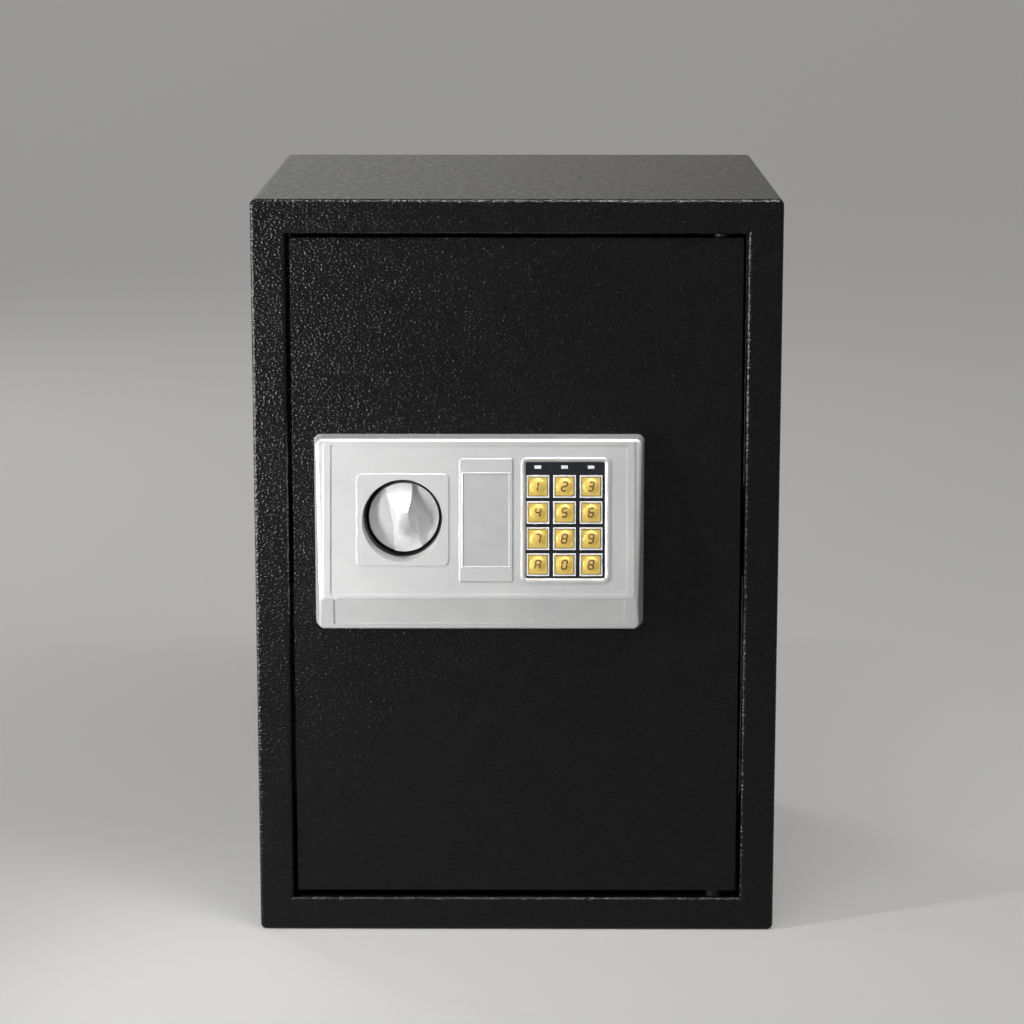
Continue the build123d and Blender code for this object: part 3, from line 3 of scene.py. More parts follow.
import bpy
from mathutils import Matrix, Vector


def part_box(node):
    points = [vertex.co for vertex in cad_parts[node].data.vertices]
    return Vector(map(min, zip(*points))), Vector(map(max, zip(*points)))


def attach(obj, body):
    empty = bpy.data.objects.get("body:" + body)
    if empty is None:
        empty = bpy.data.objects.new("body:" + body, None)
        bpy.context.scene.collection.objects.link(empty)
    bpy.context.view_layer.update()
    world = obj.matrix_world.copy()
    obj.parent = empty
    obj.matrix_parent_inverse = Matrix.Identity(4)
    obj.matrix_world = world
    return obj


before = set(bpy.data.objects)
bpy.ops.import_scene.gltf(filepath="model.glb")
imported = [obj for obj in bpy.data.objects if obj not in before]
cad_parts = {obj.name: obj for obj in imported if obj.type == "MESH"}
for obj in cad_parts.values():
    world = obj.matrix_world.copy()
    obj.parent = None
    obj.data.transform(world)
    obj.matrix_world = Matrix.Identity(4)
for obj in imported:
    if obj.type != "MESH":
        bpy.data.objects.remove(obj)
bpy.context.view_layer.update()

# ---------------------------------------------------------------- room, light and camera
# A pale plain floor in a soft grey studio, with a lamp close by on the left and one overhead.
# Camera and reflections see the floor and the backdrop at their own tones, which don't light
# the safe. Two of the six lamps add only the glints along the edges.
floor_half = 60.0
floor_roughness = 0.62
floor_specular = 0.1
floor_tone = (0.50, 0.495, 0.485, 1.0)
floor_bounce = (0.30, 0.295, 0.29, 1.0)
floor_glow = 0.19
floor_glow_tone = (1.0, 0.99, 0.975, 1.0)
backdrop_tones = [
    # place from left (-1) to right (1), tone
    (-0.8, (0.50, 0.495, 0.485, 1.0)),
    (-0.12, (0.60, 0.595, 0.585, 1.0)),
    (0.12, (0.24, 0.235, 0.23, 1.0)),
    (0.8, (0.26, 0.255, 0.25, 1.0)),
]
room_light = 0.18
room_tone = (1.0, 1.0, 1.0, 1.0)
lamps = [
    # name, place, target, width, height, watts, spread in degrees, glints only
    ("left_lamp", (-0.47, -0.47, 0.32), (-0.05, -0.165, 0.29), 0.05, 0.35, 1.35, 105.0, False),
    ("top_lamp", (0.08, -0.50, 1.15), (0.05, -0.20, 0.25), 0.38, 0.06, 3.4, 180.0, False),
    ("right_lamp", (1.2, -1.3, 1.9), (0.0, -0.10, 0.25), 1.0, 1.0, 10.0, 180.0, False),
    ("back_lamp", (-1.4, 1.9, 1.6), (0.0, 0.10, 0.25), 1.0, 1.0, 13.0, 180.0, False),
    ("side_glint", (-0.80, -0.30, 0.28), (-0.17, -0.165, 0.27), 0.34, 0.43, 11.0, 180.0, True),
    ("top_glint", (0.10, -0.50, 1.15), (0.06, -0.20, 0.25), 0.34, 0.34, 13.0, 180.0, True),
]
camera_place = (0.008, -2.2823, 0.7153)
camera_pitch = math.radians(11.32)
camera_yaw = math.radians(0.301)
camera_lens = 113.93
camera_sensor = 36.0
camera_reach = 200.0


def seen_rays(nodes, links):
    """One for rays from the camera, a reflection or a clear piece, and nothing for the rest."""
    ray = nodes.new("ShaderNodeLightPath")
    seen = ray.outputs["Is Camera Ray"]
    for kind in ("Is Glossy Ray", "Is Transmission Ray"):
        either = nodes.new("ShaderNodeMath")
        either.operation = "MAXIMUM"
        links.new(seen, either.inputs[0])
        links.new(ray.outputs[kind], either.inputs[1])
        seen = either.outputs[0]
    return seen


floor_mesh = bpy.data.meshes.new("studio_floor")
floor_mesh.from_pydata(
    [(-floor_half, -floor_half, 0), (floor_half, -floor_half, 0),
     (floor_half, floor_half, 0), (-floor_half, floor_half, 0)],
    [], [(0, 1, 2, 3)])
floor = bpy.data.objects.new("studio_floor", floor_mesh)
bpy.context.scene.collection.objects.link(floor)
floor_finish = bpy.data.materials.new("studio_floor")
floor_finish.use_nodes = True
floor_mesh.materials.append(floor_finish)

floor_nodes = floor_finish.node_tree.nodes
floor_links = floor_finish.node_tree.links
floor_shader = floor_nodes["Principled BSDF"]
floor_shader.inputs["Specular IOR Level"].default_value = floor_specular
floor_shader.inputs["Roughness"].default_value = floor_roughness
floor_shader.inputs["Emission Color"].default_value = floor_glow_tone
seen_floor = seen_rays(floor_nodes, floor_links)
glow = floor_nodes.new("ShaderNodeMath")
glow.operation = "MULTIPLY"
glow.inputs[1].default_value = floor_glow
floor_links.new(seen_floor, glow.inputs[0])
floor_links.new(glow.outputs[0], floor_shader.inputs["Emission Strength"])
mix_factor, mix_first, mix_second, mix_result = 0, 6, 7, 2
floor_colour = floor_nodes.new("ShaderNodeMix")
floor_colour.data_type = "RGBA"
floor_colour.inputs[mix_first].default_value = floor_bounce
floor_colour.inputs[mix_second].default_value = floor_tone
floor_links.new(seen_floor, floor_colour.inputs[mix_factor])
floor_links.new(floor_colour.outputs[mix_result], floor_shader.inputs["Base Color"])

room = bpy.data.worlds.new("studio")
bpy.context.scene.world = room
room.use_nodes = True
room_nodes = room.node_tree.nodes
room_links = room.node_tree.links
direction = room_nodes.new("ShaderNodeTexCoord")
axes = room_nodes.new("ShaderNodeSeparateXYZ")
room_links.new(direction.outputs["Generated"], axes.inputs[0])
across_room = room_nodes.new("ShaderNodeMapRange")
across_room.inputs["From Min"].default_value = -1.0
room_links.new(axes.outputs["X"], across_room.inputs["Value"])
backdrop = room_nodes.new("ShaderNodeValToRGB")
room_links.new(across_room.outputs["Result"], backdrop.inputs["Fac"])
for place, tone in backdrop_tones:
    backdrop.color_ramp.elements.new((place + 1.0) / 2.0).color = tone
backdrop.color_ramp.elements[0].color = backdrop_tones[0][1]
backdrop.color_ramp.elements[-1].color = backdrop_tones[-1][1]
seen_room = room_nodes["Background"]
seen_room.inputs["Strength"].default_value = 1.0
room_links.new(backdrop.outputs["Color"], seen_room.inputs["Color"])
lit_room = room_nodes.new("ShaderNodeBackground")
lit_room.inputs["Color"].default_value = room_tone
lit_room.inputs["Strength"].default_value = room_light
room_mix = room_nodes.new("ShaderNodeMixShader")
room_links.new(seen_rays(room_nodes, room_links), room_mix.inputs[0])
room_links.new(lit_room.outputs[0], room_mix.inputs[1])
room_links.new(seen_room.outputs[0], room_mix.inputs[2])
room_links.new(room_mix.outputs[0], room_nodes["World Output"].inputs["Surface"])

for name, place, target, width, height, watts, spread, glints_only in lamps:
    lamp = bpy.data.lights.new(name, "AREA")
    lamp.shape = "RECTANGLE"
    lamp.size, lamp.size_y = width, height
    lamp.energy = watts
    lamp.spread = math.radians(spread)
    holder = bpy.data.objects.new(name, lamp)
    bpy.context.scene.collection.objects.link(holder)
    holder.location = place
    holder.rotation_mode = "QUATERNION"
    holder.rotation_quaternion = (Vector(target) - Vector(place)).to_track_quat("-Z", "Y")
    holder.visible_camera = False
    holder.visible_diffuse = not glints_only

camera_data = bpy.data.cameras.new("camera")
camera_data.sensor_width = camera_sensor
camera_data.lens = camera_lens
camera_data.clip_end = camera_reach
camera = bpy.data.objects.new("camera", camera_data)
bpy.context.scene.collection.objects.link(camera)
bpy.context.scene.camera = camera
camera.location = camera_place
camera.rotation_mode = "QUATERNION"
camera.rotation_quaternion = Vector((
    -math.sin(camera_yaw) * math.cos(camera_pitch),
    math.cos(camera_yaw) * math.cos(camera_pitch),
    -math.sin(camera_pitch),
)).to_track_quat("-Z", "Y")
bpy.context.scene.view_settings.view_transform = "Standard"


# ---------------------------------------------------------------- cabinet
# Folded steel box: front frame, four-sided wrap and back sheet, welded and then powder coated
# black, with the shelf clips and the hinge brackets welded in. The coat has a coarse leathery
# grain that throws small glints where the lamp grazes it.
class Finish:
    """A node material that is built up from patterns fixed to the piece."""

    pattern_start, pattern_end = 0.3, 0.7

    def __init__(self, name, **values):
        self.material = bpy.data.materials.new(name)
        self.material.use_nodes = True
        self.tree = self.material.node_tree
        self.shader = self.tree.nodes["Principled BSDF"]
        self.place = self.tree.nodes.new("ShaderNodeTexCoord").outputs["Object"]
        self.normal = None
        for socket, value in values.items():
            self.shader.inputs[socket.replace("_", " ")].default_value = value

    def node(self, kind, source, socket, **values):
        """A new node that takes a source at one socket, with values at others."""
        node = self.tree.nodes.new(kind)
        self.tree.links.new(source, node.inputs[socket])
        for name, value in values.items():
            node.inputs[name.replace("_", " ")].default_value = value
        return node

    def noise(self, size, detail=2.0, stretch=None):
        """Soft noise whose blots are about as large as size, in metres."""
        place = self.place
        if stretch is not None:
            place = self.node("ShaderNodeMapping", place, "Vector", Scale=stretch).outputs[0]
        noise = self.node("ShaderNodeTexNoise", place, "Vector", Scale=1.0 / size, Detail=detail)
        return noise.outputs["Fac"]

    def cells(self, size, smoothness=0.6):
        """Rounded cells about as wide as size, in metres."""
        cells = self.node("ShaderNodeTexVoronoi", self.place, "Vector", Scale=1.0 / size)
        cells.feature = "SMOOTH_F1"
        cells.inputs["Smoothness"].default_value = smoothness
        return cells.outputs["Distance"]

    def colour(self, low, high, pattern):
        """A base colour that goes from low to high over a pattern."""
        ramp = self.node("ShaderNodeValToRGB", pattern, "Fac")
        stops = ramp.color_ramp.elements
        stops[0].position, stops[1].position = self.pattern_start, self.pattern_end
        stops[0].color, stops[1].color = (*low, 1.0), (*high, 1.0)
        self.tree.links.new(ramp.outputs["Color"], self.shader.inputs["Base Color"])

    def roughness(self, low, high, pattern):
        """A roughness that goes from low to high over a pattern."""
        span = self.node("ShaderNodeMapRange", pattern, "Value", From_Min=self.pattern_start,
                         From_Max=self.pattern_end, To_Min=low, To_Max=high)
        self.tree.links.new(span.outputs["Result"], self.shader.inputs["Roughness"])

    def relief(self, height, pattern):
        """Adds bumps as high as height, in metres, over those that are there."""
        bumps = self.node("ShaderNodeBump", pattern, "Height", Distance=height, Strength=1.0)
        if self.normal is not None:
            self.tree.links.new(self.normal, bumps.inputs["Normal"])
        self.normal = bumps.outputs["Normal"]
        self.tree.links.new(self.normal, self.shader.inputs["Normal"])


def dress(finish, *nodes):
    """Gives CAD nodes a finish through their own material slots."""
    for node in nodes:
        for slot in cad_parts[node].material_slots:
            slot.material = finish.material


coat_specular = 0.21
coat_blots = 0.02
coat_smoothest, coat_roughest = 0.14, 0.24
sheen_per_grain = 3
relief_per_grain = 0.34
fine_per_grain, fine_relief_per_grain = 0.45, 0.12
cabinet_grain = 0.0017


def powder_coat(name, low, high, grain):
    """A textured black coat whose grain is about as wide as grain, in metres."""
    coat = Finish(name, Specular_IOR_Level=coat_specular)
    coat.colour(low, high, coat.noise(coat_blots, detail=4.0))
    coat.roughness(coat_smoothest, coat_roughest, coat.noise(grain * sheen_per_grain))
    coat.relief(grain * relief_per_grain, coat.cells(grain))
    coat.relief(grain * fine_relief_per_grain,
                coat.noise(grain * fine_per_grain, detail=3.0))
    return coat


cabinet_coat = powder_coat("cabinet_powder_coat", (0.0028, 0.0028, 0.0029),
                           (0.0045, 0.0045, 0.0046), cabinet_grain)
dress(cabinet_coat, "front_frame", "cabinet_wrap", "rear_panel", "shelf_clips",
      "hinge_bracket_bottom", "hinge_bracket_top")

# ---------------------------------------------------------------- shelf
# Loose tray of thin folded steel sheet, powder coated a shade lighter than the cabinet.
# It only lies on its four clips, and lifts off them.
shelf_grain = 0.0014
shelf_coat = powder_coat("shelf_powder_coat", (0.012, 0.012, 0.0125), (0.02, 0.02, 0.0205),
                         shelf_grain)
dress(shelf_coat, "shelf")

# ---------------------------------------------------------------- floor mat
# Sheet of dark closed-cell foam with rounded corners, die cut from a roll.
# It lies loose on the cabinet's floor, with a hole over each anchor hole.
foam = Finish("mat_foam", Roughness=0.92)
foam.colour((0.016, 0.016, 0.018), (0.032, 0.032, 0.035), foam.noise(0.012, detail=5.0))
foam.relief(0.0004, foam.cells(0.0011, smoothness=0.3))
foam.relief(0.0005, foam.noise(0.006))
dress(foam, "floor_mat")

# ---------------------------------------------------------------- door plate
# Laser-cut steel plate in the same black powder coat as the cabinet.
# The hinge blocks and the bolt guide are welded behind it before it is coated.
door_grain = 0.0018
door_coat = powder_coat("door_powder_coat", (0.0026, 0.0026, 0.0027),
                        (0.0043, 0.0043, 0.0044), door_grain)
dress(door_coat, "door_plate", "hinge_blocks", "bolt_guide")

# ---------------------------------------------------------------- hinge pins
# Turned steel pins in the welded blocks, and a thrust washer that carries the door.
# All are coloured near black as painted shade, so that they don't show in the dark door gap.
# Painted shade: near-black steel that stands in for the shadow inside the door gap.
gap_shade_steel = Finish("gap_shade_black_steel", Metallic=0.7)
gap_shade_steel.colour((0.012, 0.012, 0.013), (0.03, 0.029, 0.028),
                   gap_shade_steel.noise(0.003, detail=4.0))
gap_shade_steel.roughness(0.38, 0.6, gap_shade_steel.noise(0.002))
gap_shade_steel.relief(0.00003, gap_shade_steel.noise(0.0006, detail=3.0, stretch=(1, 1, 6)))
dress(gap_shade_steel, "hinge_pins", "thrust_washer")

# ---------------------------------------------------------------- lock panel
# Wedge-shaped ABS moulding with a rim, a knob pad and a keypad bezel, screwed on from behind.
# It is sprayed silver all over: fine metal flake in the paint makes it slightly cloudy and
# gives it a soft sheen.
paint_blots = 0.03
paint_sheen_blots, paint_sheen_change = 0.008, 0.02
flake_size, flake_relief = 0.0014, 0.000003
mould_wave_size, mould_wave_relief = 0.012, 0.000012


def silver_paint(name, low, high, roughness, metal=0.5):
    paint = Finish(name, Metallic=metal)
    paint.colour(low, high, paint.noise(paint_blots, detail=6.0))
    paint.roughness(roughness - paint_sheen_change, roughness + paint_sheen_change,
                    paint.noise(paint_sheen_blots, detail=3.0))
    paint.relief(flake_relief, paint.noise(flake_size, detail=1.0))
    paint.relief(mould_wave_relief, paint.noise(mould_wave_size))
    return paint


panel_paint = silver_paint("panel_silver_paint", (0.66, 0.66, 0.665), (0.72, 0.72, 0.72),
                           roughness=0.31)
dress(panel_paint, "lock_panel")

# ---------------------------------------------------------------- small screws
# Zinc-plated steel screws with domed heads, bought in.
# They draw the panel up from behind the door, and hold the chassis plate, the case and the bolts.
zinc_blots = 0.006
zinc_sheen_blots, zinc_smoother, zinc_rougher = 0.0012, 0.07, 0.1
zinc_crystal_size, zinc_crystal_relief = 0.0005, 0.00002


def zinc_plate(name, low, high, roughness):
    zinc = Finish(name, Metallic=1.0)
    zinc.colour(low, high, zinc.noise(zinc_blots, detail=5.0))
    zinc.roughness(roughness - zinc_smoother, roughness + zinc_rougher,
                   zinc.noise(zinc_sheen_blots, detail=4.0))
    zinc.relief(zinc_crystal_relief, zinc.noise(zinc_crystal_size, detail=3.0))
    return zinc


screw_zinc = zinc_plate("screw_zinc", (0.50, 0.50, 0.48), (0.68, 0.67, 0.63), roughness=0.33)
dress(screw_zinc, "panel_screws", "mechanism_screws", "lock_case_screws", "bolt_screws")

# ---------------------------------------------------------------- knob
# Round ABS moulding with a waisted grip across it, pressed on the end of the spindle.
# It is sprayed silver like the panel, but to a flatter sheen.
knob_paint = silver_paint("knob_silver_paint", (0.53, 0.53, 0.535), (0.58, 0.58, 0.58),
                          roughness=0.5, metal=0.45)
dress(knob_paint, "knob")

# ---------------------------------------------------------------- knob well
# Thin shallow black cup with a hole for the bush, set into the lower part of the panel's well.
# Its near-black colour is painted shade that stands in for the dark well, so no light shows round
# the knob.
well_x, well_z = -0.0753, 0.2894
well_floor_y = -0.166
well_floor_radius = 0.0247
well_draft = math.tan(math.radians(7.5))
liner_height = 0.0098
liner_thickness = 0.0005
liner_fit = 0.0001
liner_sides = 96
bush_room = 0.0125


def liner_radius(height):
    return well_floor_radius + height * well_draft


def grid_faces(rows, columns, rows_meet=False, columns_meet=False, first=0):
    """Quads over rows of points; the last row or column may meet the first one again."""
    faces = []
    for row in range(rows if rows_meet else rows - 1):
        near, far = first + row * columns, first + (row + 1) % rows * columns
        for column in range(columns if columns_meet else columns - 1):
            beside = (column + 1) % columns
            faces.append((near + column, near + beside, far + beside, far + column))
    return faces


def new_piece(name, points, faces, finish):
    mesh = bpy.data.meshes.new(name)
    mesh.from_pydata([tuple(point) for point in points], [], faces)
    mesh.update()
    mesh.materials.append(finish.material)
    piece = bpy.data.objects.new(name, mesh)
    bpy.context.scene.collection.objects.link(piece)
    return piece


liner_profile = [
    # radius, y
    (bush_room, well_floor_y - liner_fit),
    (liner_radius(liner_fit) - liner_fit, well_floor_y - liner_fit),
    (liner_radius(liner_height) - liner_fit, well_floor_y - liner_height),
    (liner_radius(liner_height) - liner_thickness, well_floor_y - liner_height),
    (liner_radius(liner_thickness) - liner_thickness, well_floor_y - liner_thickness),
    (bush_room, well_floor_y - liner_thickness),
]
liner_points = []
for turn in range(liner_sides):
    angle = 2 * math.pi * turn / liner_sides
    for radius, y in liner_profile:
        liner_points.append((well_x + radius * math.cos(angle), y,
                             well_z + radius * math.sin(angle)))
# Painted shade: a near-black colour that stands in for the shadow deep in the well round the
# knob.
well_shade = Finish("painted_well_shade", Roughness=0.95)
well_shade.colour((0.004, 0.004, 0.0045), (0.009, 0.009, 0.010), well_shade.noise(0.002, detail=4.0))
well_shade.relief(0.00008, well_shade.noise(0.0004))
liner = new_piece("knob_well_shade_liner", liner_points,
                  grid_faces(liner_sides, len(liner_profile), True, True), well_shade)
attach(liner, "door")

# ---------------------------------------------------------------- spindle, bush and cam
# Bright zinc-plated steel spindle with the drive cam pressed on its inner end.
# It turns in a natural nylon bush that is pressed into the door.
work_zinc = zinc_plate("mechanism_zinc", (0.55, 0.55, 0.52), (0.66, 0.66, 0.64), roughness=0.4)
dress(work_zinc, "knob_spindle", "drive_cam")
nylon = Finish("bush_nylon", Roughness=0.5)
nylon.colour((0.60, 0.58, 0.52), (0.72, 0.70, 0.65), nylon.noise(0.004, detail=3.0))
nylon.relief(0.00003, nylon.noise(0.0008))
dress(nylon, "spindle_bush")

# ---------------------------------------------------------------- key cover
# Silver moulded ABS cover, clipped into the panel over the emergency lock.
# A bare satin plate is glued in its face, and a low moulded lip runs round the plate.
panel_face_run, panel_face_rise = 0.0193, 0.106
face_lean = math.atan2(panel_face_run, panel_face_rise)
face_across = Vector((1.0, 0.0, 0.0))
face_up = Vector((0.0, math.sin(face_lean), math.cos(face_lean)))
face_out = Vector((0.0, -math.cos(face_lean), math.sin(face_lean)))
square = ((-1, -1), (1, -1), (1, 1), (-1, 1))
lip_steps = [
    # reach past the plate, height over it
    (0.0011, 0.0002), (0.0007, 0.0006), (0.0004, 0.0006), (0.0001, 0.0001),
]

cover_paint = silver_paint("cover_silver_paint", (0.64, 0.64, 0.645), (0.70, 0.70, 0.70),
                           roughness=0.32)
dress(cover_paint, "key_cover")
inlay = Finish("inlay_satin", Metallic=0.3)
inlay.colour((0.43, 0.43, 0.435), (0.47, 0.47, 0.47), inlay.noise(0.02, detail=5.0))
inlay.roughness(0.42, 0.48, inlay.noise(0.006))
inlay.relief(0.00002, inlay.noise(0.0009, detail=3.0, stretch=(1.0, 1.0, 12.0)))
dress(inlay, "cover_inlay")

inlay_low, inlay_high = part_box("cover_inlay")
inlay_half = (inlay_high[0] - inlay_low[0]) / 2
inlay_length = (inlay_high[2] - inlay_low[2]) / math.cos(face_lean)
inlay_foot = Vector((inlay_low[0] + inlay_half, inlay_low[1], inlay_low[2]))
inlay_middle = inlay_foot + face_up * (inlay_length / 2)
lip_points = []
for reach, out in lip_steps:
    for side, end in square:
        lip_points.append(inlay_middle + face_across * side * (inlay_half + reach)
                          + face_up * end * (inlay_length / 2 + reach) + face_out * out)
lip = new_piece("inlay_lip", lip_points,
                grid_faces(len(lip_steps), len(square), True, True), cover_paint)
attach(lip, "key_cover")

# ---------------------------------------------------------------- keypad plate
# Glossy black plate, pierced for the keys and the indicators and fixed inside the bezel.
# A white square is silk-screened round each hole.
panel_back_y = -0.161
panel_foot_z, panel_foot_depth = 0.2375, 0.030
keypad_x, keypad_z = 0.03225, 0.2893
keypad_depth = panel_foot_depth - (keypad_z - panel_foot_z) * math.tan(face_lean)
keypad_middle = Vector((keypad_x, panel_back_y - keypad_depth, keypad_z))
plate_front = -0.0003
key_names = "1 2 3 4 5 6 7 8 9 a 0 b".split()
key_columns = 3
middle_column, middle_row = 1, 1.5
column_pitch, row_pitch = 0.0176, 0.01725
columns_left, rows_down = 0.0006, 0.0036
outline_half, outline_line = 0.0075, 0.0010
outline_height = 0.00004

gloss_black = Finish("keypad_gloss_black")
gloss_black.colour((0.0065, 0.0075, 0.0105), (0.010, 0.011, 0.015),
                   gloss_black.noise(0.01, detail=4.0))
gloss_black.roughness(0.16, 0.27, gloss_black.noise(0.003, detail=4.0))
gloss_black.relief(0.00003, gloss_black.noise(0.006))
dress(gloss_black, "keypad_plate")


def on_face(across, up, out):
    """A point over the sloping face, counted from the middle of the keypad."""
    return keypad_middle + face_across * across + face_up * up + face_out * out


def key_centre(index):
    column, row = index % key_columns, index // key_columns
    return ((column - middle_column) * column_pitch - columns_left,
            (middle_row - row) * row_pitch - rows_down)


outline_inner = outline_half - outline_line
outline_top = plate_front + outline_height
outline_steps = [
    # reach from the key's centre, height
    (outline_half, plate_front), (outline_half, outline_top),
    (outline_inner, outline_top), (outline_inner, plate_front),
]
outline_points, outline_faces = [], []
for index in range(len(key_names)):
    across, up = key_centre(index)
    outline_faces += grid_faces(len(outline_steps), len(square), columns_meet=True,
                                first=len(outline_points))
    for reach, out in outline_steps:
        for side, end in square:
            outline_points.append(on_face(across + side * reach, up + end * reach, out))
white_print = Finish("white_screen_print", Roughness=0.45)
white_print.colour((0.78, 0.78, 0.77), (0.88, 0.88, 0.88),
                   white_print.noise(0.0015, detail=4.0))
white_print.relief(0.00001, white_print.noise(0.0004))
outlines = new_piece("key_outlines", outline_points, outline_faces, white_print)
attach(outlines, "door")

# ---------------------------------------------------------------- indicator windows
# Three short bars of milky acrylic, set in a row in the plate over the keys.
# They stand on the mat, and end flush with the front of the plate.
milky = Finish("milky_acrylic", Roughness=0.25)
milky.colour((0.72, 0.73, 0.75), (0.86, 0.87, 0.88), milky.noise(0.002, detail=3.0))
milky.relief(0.00002, milky.noise(0.001))
dress(milky, "indicator_lenses")

# ---------------------------------------------------------------- keys
# Twelve square moulded keys, metallised gold, each held in the plate by its flange.
# A low round dome on each carries a brown printed figure, drawn in seven slanted bars.
dome_radius, dome_height = 0.0053, 0.0011
dome_ball = (dome_radius ** 2 + dome_height ** 2) / (2 * dome_height)
key_proud = 0.0006
cap_top = plate_front + key_proud
figure_width, figure_height = 0.0032, 0.0057
figure_slant = math.tan(math.radians(9.0))
stroke_half = 0.00052
stroke_gap = 0.0001
stroke_ends = [
    # place along the bar, share of the full width
    (0.0, 0.25), (0.14, 1.0), (0.5, 1.0), (0.86, 1.0), (1.0, 0.25),
]
stroke_section = [
    # side, height over the dome
    (1, -0.0001), (1, 0.00005), (0, 0.00006), (-1, 0.00005), (-1, -0.0001),
]
bars = {
    # both ends, as shares of the figure's width and height
    "upper_stem": ((0.5, 0.5), (0.5, 1)), "lower_stem": ((0.5, 0), (0.5, 0.5)),
    "top": ((0, 1), (1, 1)), "middle": ((0, 0.5), (1, 0.5)), "bottom": ((0, 0), (1, 0)),
    "upper_left": ((0, 0.5), (0, 1)), "upper_right": ((1, 0.5), (1, 1)),
    "lower_left": ((0, 0), (0, 0.5)), "lower_right": ((1, 0), (1, 0.5)),
}
lit_bars = {
    "0": "top bottom upper_left upper_right lower_left lower_right",
    "1": "upper_stem lower_stem",
    "2": "top upper_right middle lower_left bottom",
    "3": "top upper_right middle lower_right bottom",
    "4": "upper_left middle upper_right lower_right",
    "5": "top upper_left middle lower_right bottom",
    "6": "top upper_left middle lower_left lower_right bottom",
    "7": "top upper_right lower_right",
    "8": "top middle bottom upper_left upper_right lower_left lower_right",
    "9": "top middle bottom upper_left upper_right lower_right",
    "a": "top middle upper_left upper_right lower_left lower_right",
    "b": "top middle bottom upper_left upper_right lower_left lower_right",
}

gold = Finish("key_gold", Metallic=0.4)
gold.colour((0.80, 0.57, 0.13), (0.86, 0.62, 0.16), gold.noise(0.008, detail=3.0))
gold.roughness(0.30, 0.36, gold.noise(0.0015, detail=3.0))
gold.relief(0.000006, gold.noise(0.0012))
brown_ink = Finish("brown_figure_ink", Roughness=0.5)
brown_ink.colour((0.10, 0.042, 0.007), (0.15, 0.065, 0.011),
                 brown_ink.noise(0.001, detail=4.0))
brown_ink.relief(0.00001, brown_ink.noise(0.0003))


def dome_point(across, up, x, z, lift):
    """A point on a key's dome, at (x, z) from the key's centre, lifted a little."""
    rise = math.sqrt(dome_ball ** 2 - x * x - z * z) - (dome_ball - dome_height)
    return on_face(across + x, up + z, cap_top + rise + lift)


def figure_piece(name, across, up):
    """A seven-bar figure of thin raised strokes that follow the dome."""
    points, faces = [], []
    rows, columns = len(stroke_ends), len(stroke_section)
    for bar in lit_bars[name].split():
        start, end = (Vector(((x - 0.5) * figure_width, (z - 0.5) * figure_height))
                      for x, z in bars[bar])
        along = (end - start).normalized()
        side = Vector((-along.y, along.x))
        start, end = start + along * stroke_gap, end - along * stroke_gap
        first = len(points)
        last = first + (rows - 1) * columns
        for share, width in stroke_ends:
            middle = start.lerp(end, share)
            for offset, lift in stroke_section:
                place = middle + side * offset * width * stroke_half
                points.append(dome_point(across, up, place.x + place.y * figure_slant,
                                         place.y, lift))
        faces += grid_faces(rows, columns, first=first)
        faces.append(tuple(reversed(range(first, first + columns))))
        faces.append(tuple(range(last, last + columns)))
    return new_piece(f"figure_{name}", points, faces, brown_ink)


for index, name in enumerate(key_names):
    dress(gold, f"key_{name}")
    figure = figure_piece(name, *key_centre(index))
    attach(figure, f"key_{name}")

# ---------------------------------------------------------------- switch mat and circuit board
# Grey silicone sheet that the keys press on, and behind it the green circuit board with its chip
# and sounder. Both are clamped behind the keypad plate.
silicone = Finish("grey_silicone", Roughness=0.7)
silicone.colour((0.28, 0.29, 0.29), (0.36, 0.37, 0.37), silicone.noise(0.01, detail=3.0))
silicone.relief(0.00003, silicone.noise(0.0007))
dress(silicone, "keypad_mat")
board = Finish("green_solder_mask", Roughness=0.38)
board.colour((0.008, 0.07, 0.025), (0.02, 0.16, 0.06),
             board.noise(0.003, detail=5.0, stretch=(1.0, 1.0, 0.2)))
board.relief(0.00005, board.noise(0.0011, detail=1.0, stretch=(1.0, 1.0, 0.15)))
dress(board, "keypad_board")

# ---------------------------------------------------------------- bolts
# Two round steel bars, ground and chrome plated, with a chamfered tip.
# Each is screwed to the carriage, and runs through the guide behind the door's edge.
chrome = Finish("bolt_chrome", Metallic=1.0)
chrome.colour((0.62, 0.62, 0.63), (0.74, 0.74, 0.75), chrome.noise(0.01, detail=4.0))
chrome.roughness(0.10, 0.22, chrome.noise(0.0009, detail=4.0, stretch=(10.0, 1.0, 1.0)))
chrome.relief(0.00001, chrome.noise(0.0004, detail=3.0, stretch=(14.0, 1.0, 1.0)))
dress(chrome, "upper_bolt", "lower_bolt")

# ---------------------------------------------------------------- bolt carriage and chassis plate
# Punched steel plates, zinc plated. The carriage slides on studs that are riveted to the
# chassis plate, and the chassis plate is screwed behind the door.
plate_zinc = zinc_plate("carriage_zinc", (0.48, 0.48, 0.46), (0.62, 0.61, 0.57),
                        roughness=0.42)
dress(plate_zinc, "bolt_carriage", "mechanism_plate")
dress(work_zinc, "guide_studs")

# ---------------------------------------------------------------- solenoid
# Pull solenoid on the chassis plate: a folded iron frame, a coil wound with yellow tape, and a
# steel plunger with a light return spring.
dress(work_zinc, "solenoid_frame", "solenoid_plunger", "solenoid_spring")
tape = Finish("coil_tape", Roughness=0.42)
tape.colour((0.42, 0.22, 0.03), (0.60, 0.36, 0.07),
            tape.noise(0.002, detail=4.0, stretch=(0.3, 0.3, 6.0)))
tape.relief(0.0001, tape.noise(0.0012, stretch=(0.2, 0.2, 5.0)))
dress(tape, "solenoid_coil")

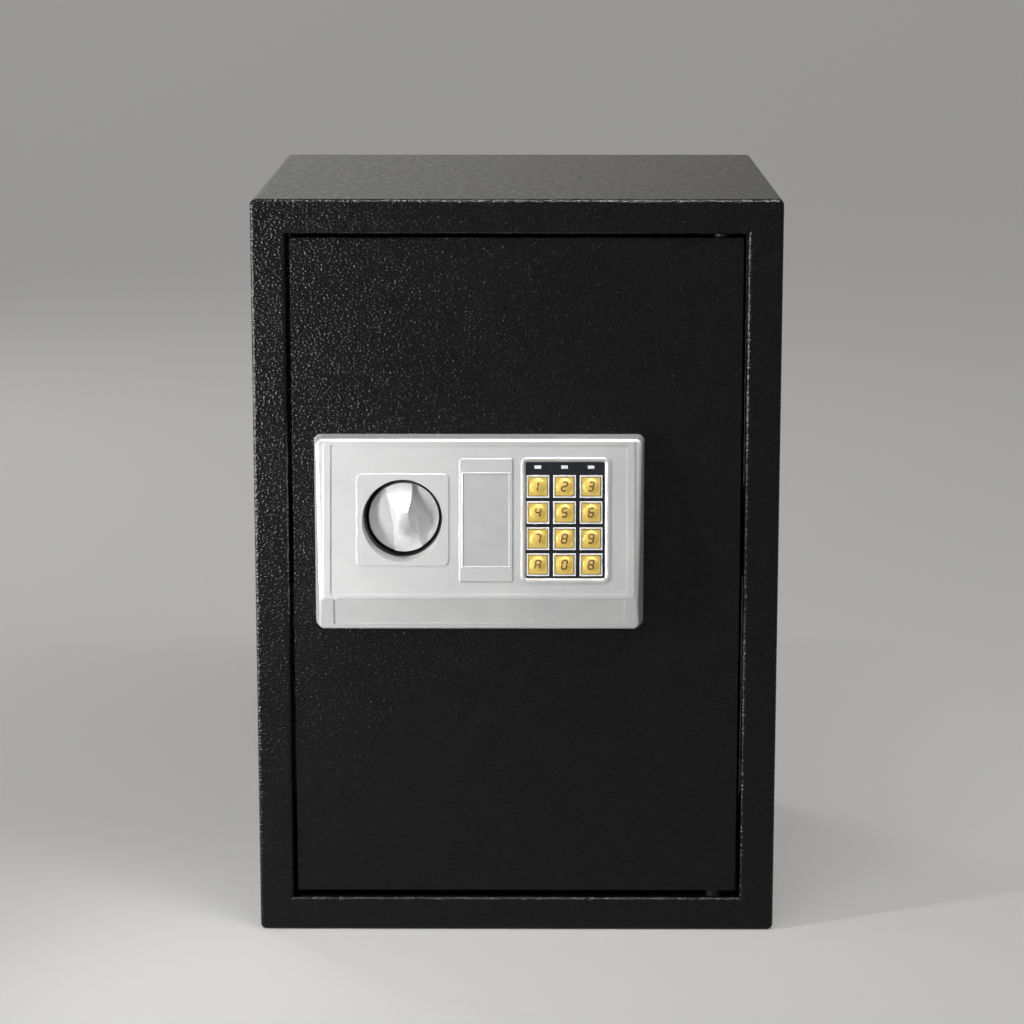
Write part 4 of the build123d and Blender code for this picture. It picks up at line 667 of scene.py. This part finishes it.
# ---------------------------------------------------------------- emergency lock
# Nickel-plated cylinder lock and its plug, which has a key slot in front and a cam behind.
# The cylinder passes through the door under the key cover, and a hexagon nut holds it.
nickel = Finish("lock_nickel", Metallic=1.0)
nickel.colour((0.52, 0.50, 0.45), (0.66, 0.64, 0.59), nickel.noise(0.004, detail=4.0))
nickel.roughness(0.18, 0.34, nickel.noise(0.0012, detail=4.0))
nickel.relief(0.00002, nickel.noise(0.0006, detail=3.0))
dress(nickel, "lock_cylinder", "lock_plug")

# ---------------------------------------------------------------- lock case
# Thin folded steel box over the lock work, coated satin black with a fine grain.
# It is screwed to the back of the door.
case_grain = 0.0008
case_coat = powder_coat("case_satin_coat", (0.014, 0.014, 0.0145), (0.022, 0.022, 0.0225),
                        case_grain)
dress(case_coat, "lock_case")

# ---------------------------------------------------------------- battery tray and reset switch
# Black moulded ABS: the tray is let into the lock case, its cover slides over the cells, and the
# switch sits behind the case. All have a fine spark-eroded grain.
eroded = Finish("black_eroded_plastic")
eroded.colour((0.012, 0.012, 0.0125), (0.02, 0.02, 0.021), eroded.noise(0.008, detail=4.0))
eroded.roughness(0.44, 0.6, eroded.noise(0.0015, detail=3.0))
eroded.relief(0.00005, eroded.noise(0.0004, detail=3.0))
dress(eroded, "battery_tray", "battery_cover", "reset_switch")

# ---------------------------------------------------------------- batteries and contacts
# Four standard cells in plain dark blue plastic jackets, laid in the tray.
# Nickel-plated spring strips, pushed into the tray's ends, hold them.
jacket = Finish("cell_jacket", Coat_Weight=0.3)
jacket.colour((0.02, 0.045, 0.13), (0.03, 0.06, 0.17), jacket.noise(0.01, detail=3.0))
jacket.roughness(0.22, 0.36, jacket.noise(0.002, detail=3.0))
jacket.relief(0.00004, jacket.noise(0.004))
dress(jacket, "batteries")
contact_nickel = zinc_plate("contact_nickel", (0.58, 0.57, 0.54), (0.70, 0.69, 0.66),
                            roughness=0.3)
dress(contact_nickel, "battery_contacts")

# ---------------------------------------------------------------- reset button
# Small red moulded push button, sprung in its switch.
# It is reached through a hole in the lock case.
red = Finish("reset_red_plastic")
red.colour((0.36, 0.012, 0.01), (0.5, 0.02, 0.016), red.noise(0.002, detail=3.0))
red.roughness(0.28, 0.4, red.noise(0.001, detail=3.0))
red.relief(0.00002, red.noise(0.0006))
dress(red, "reset_button")
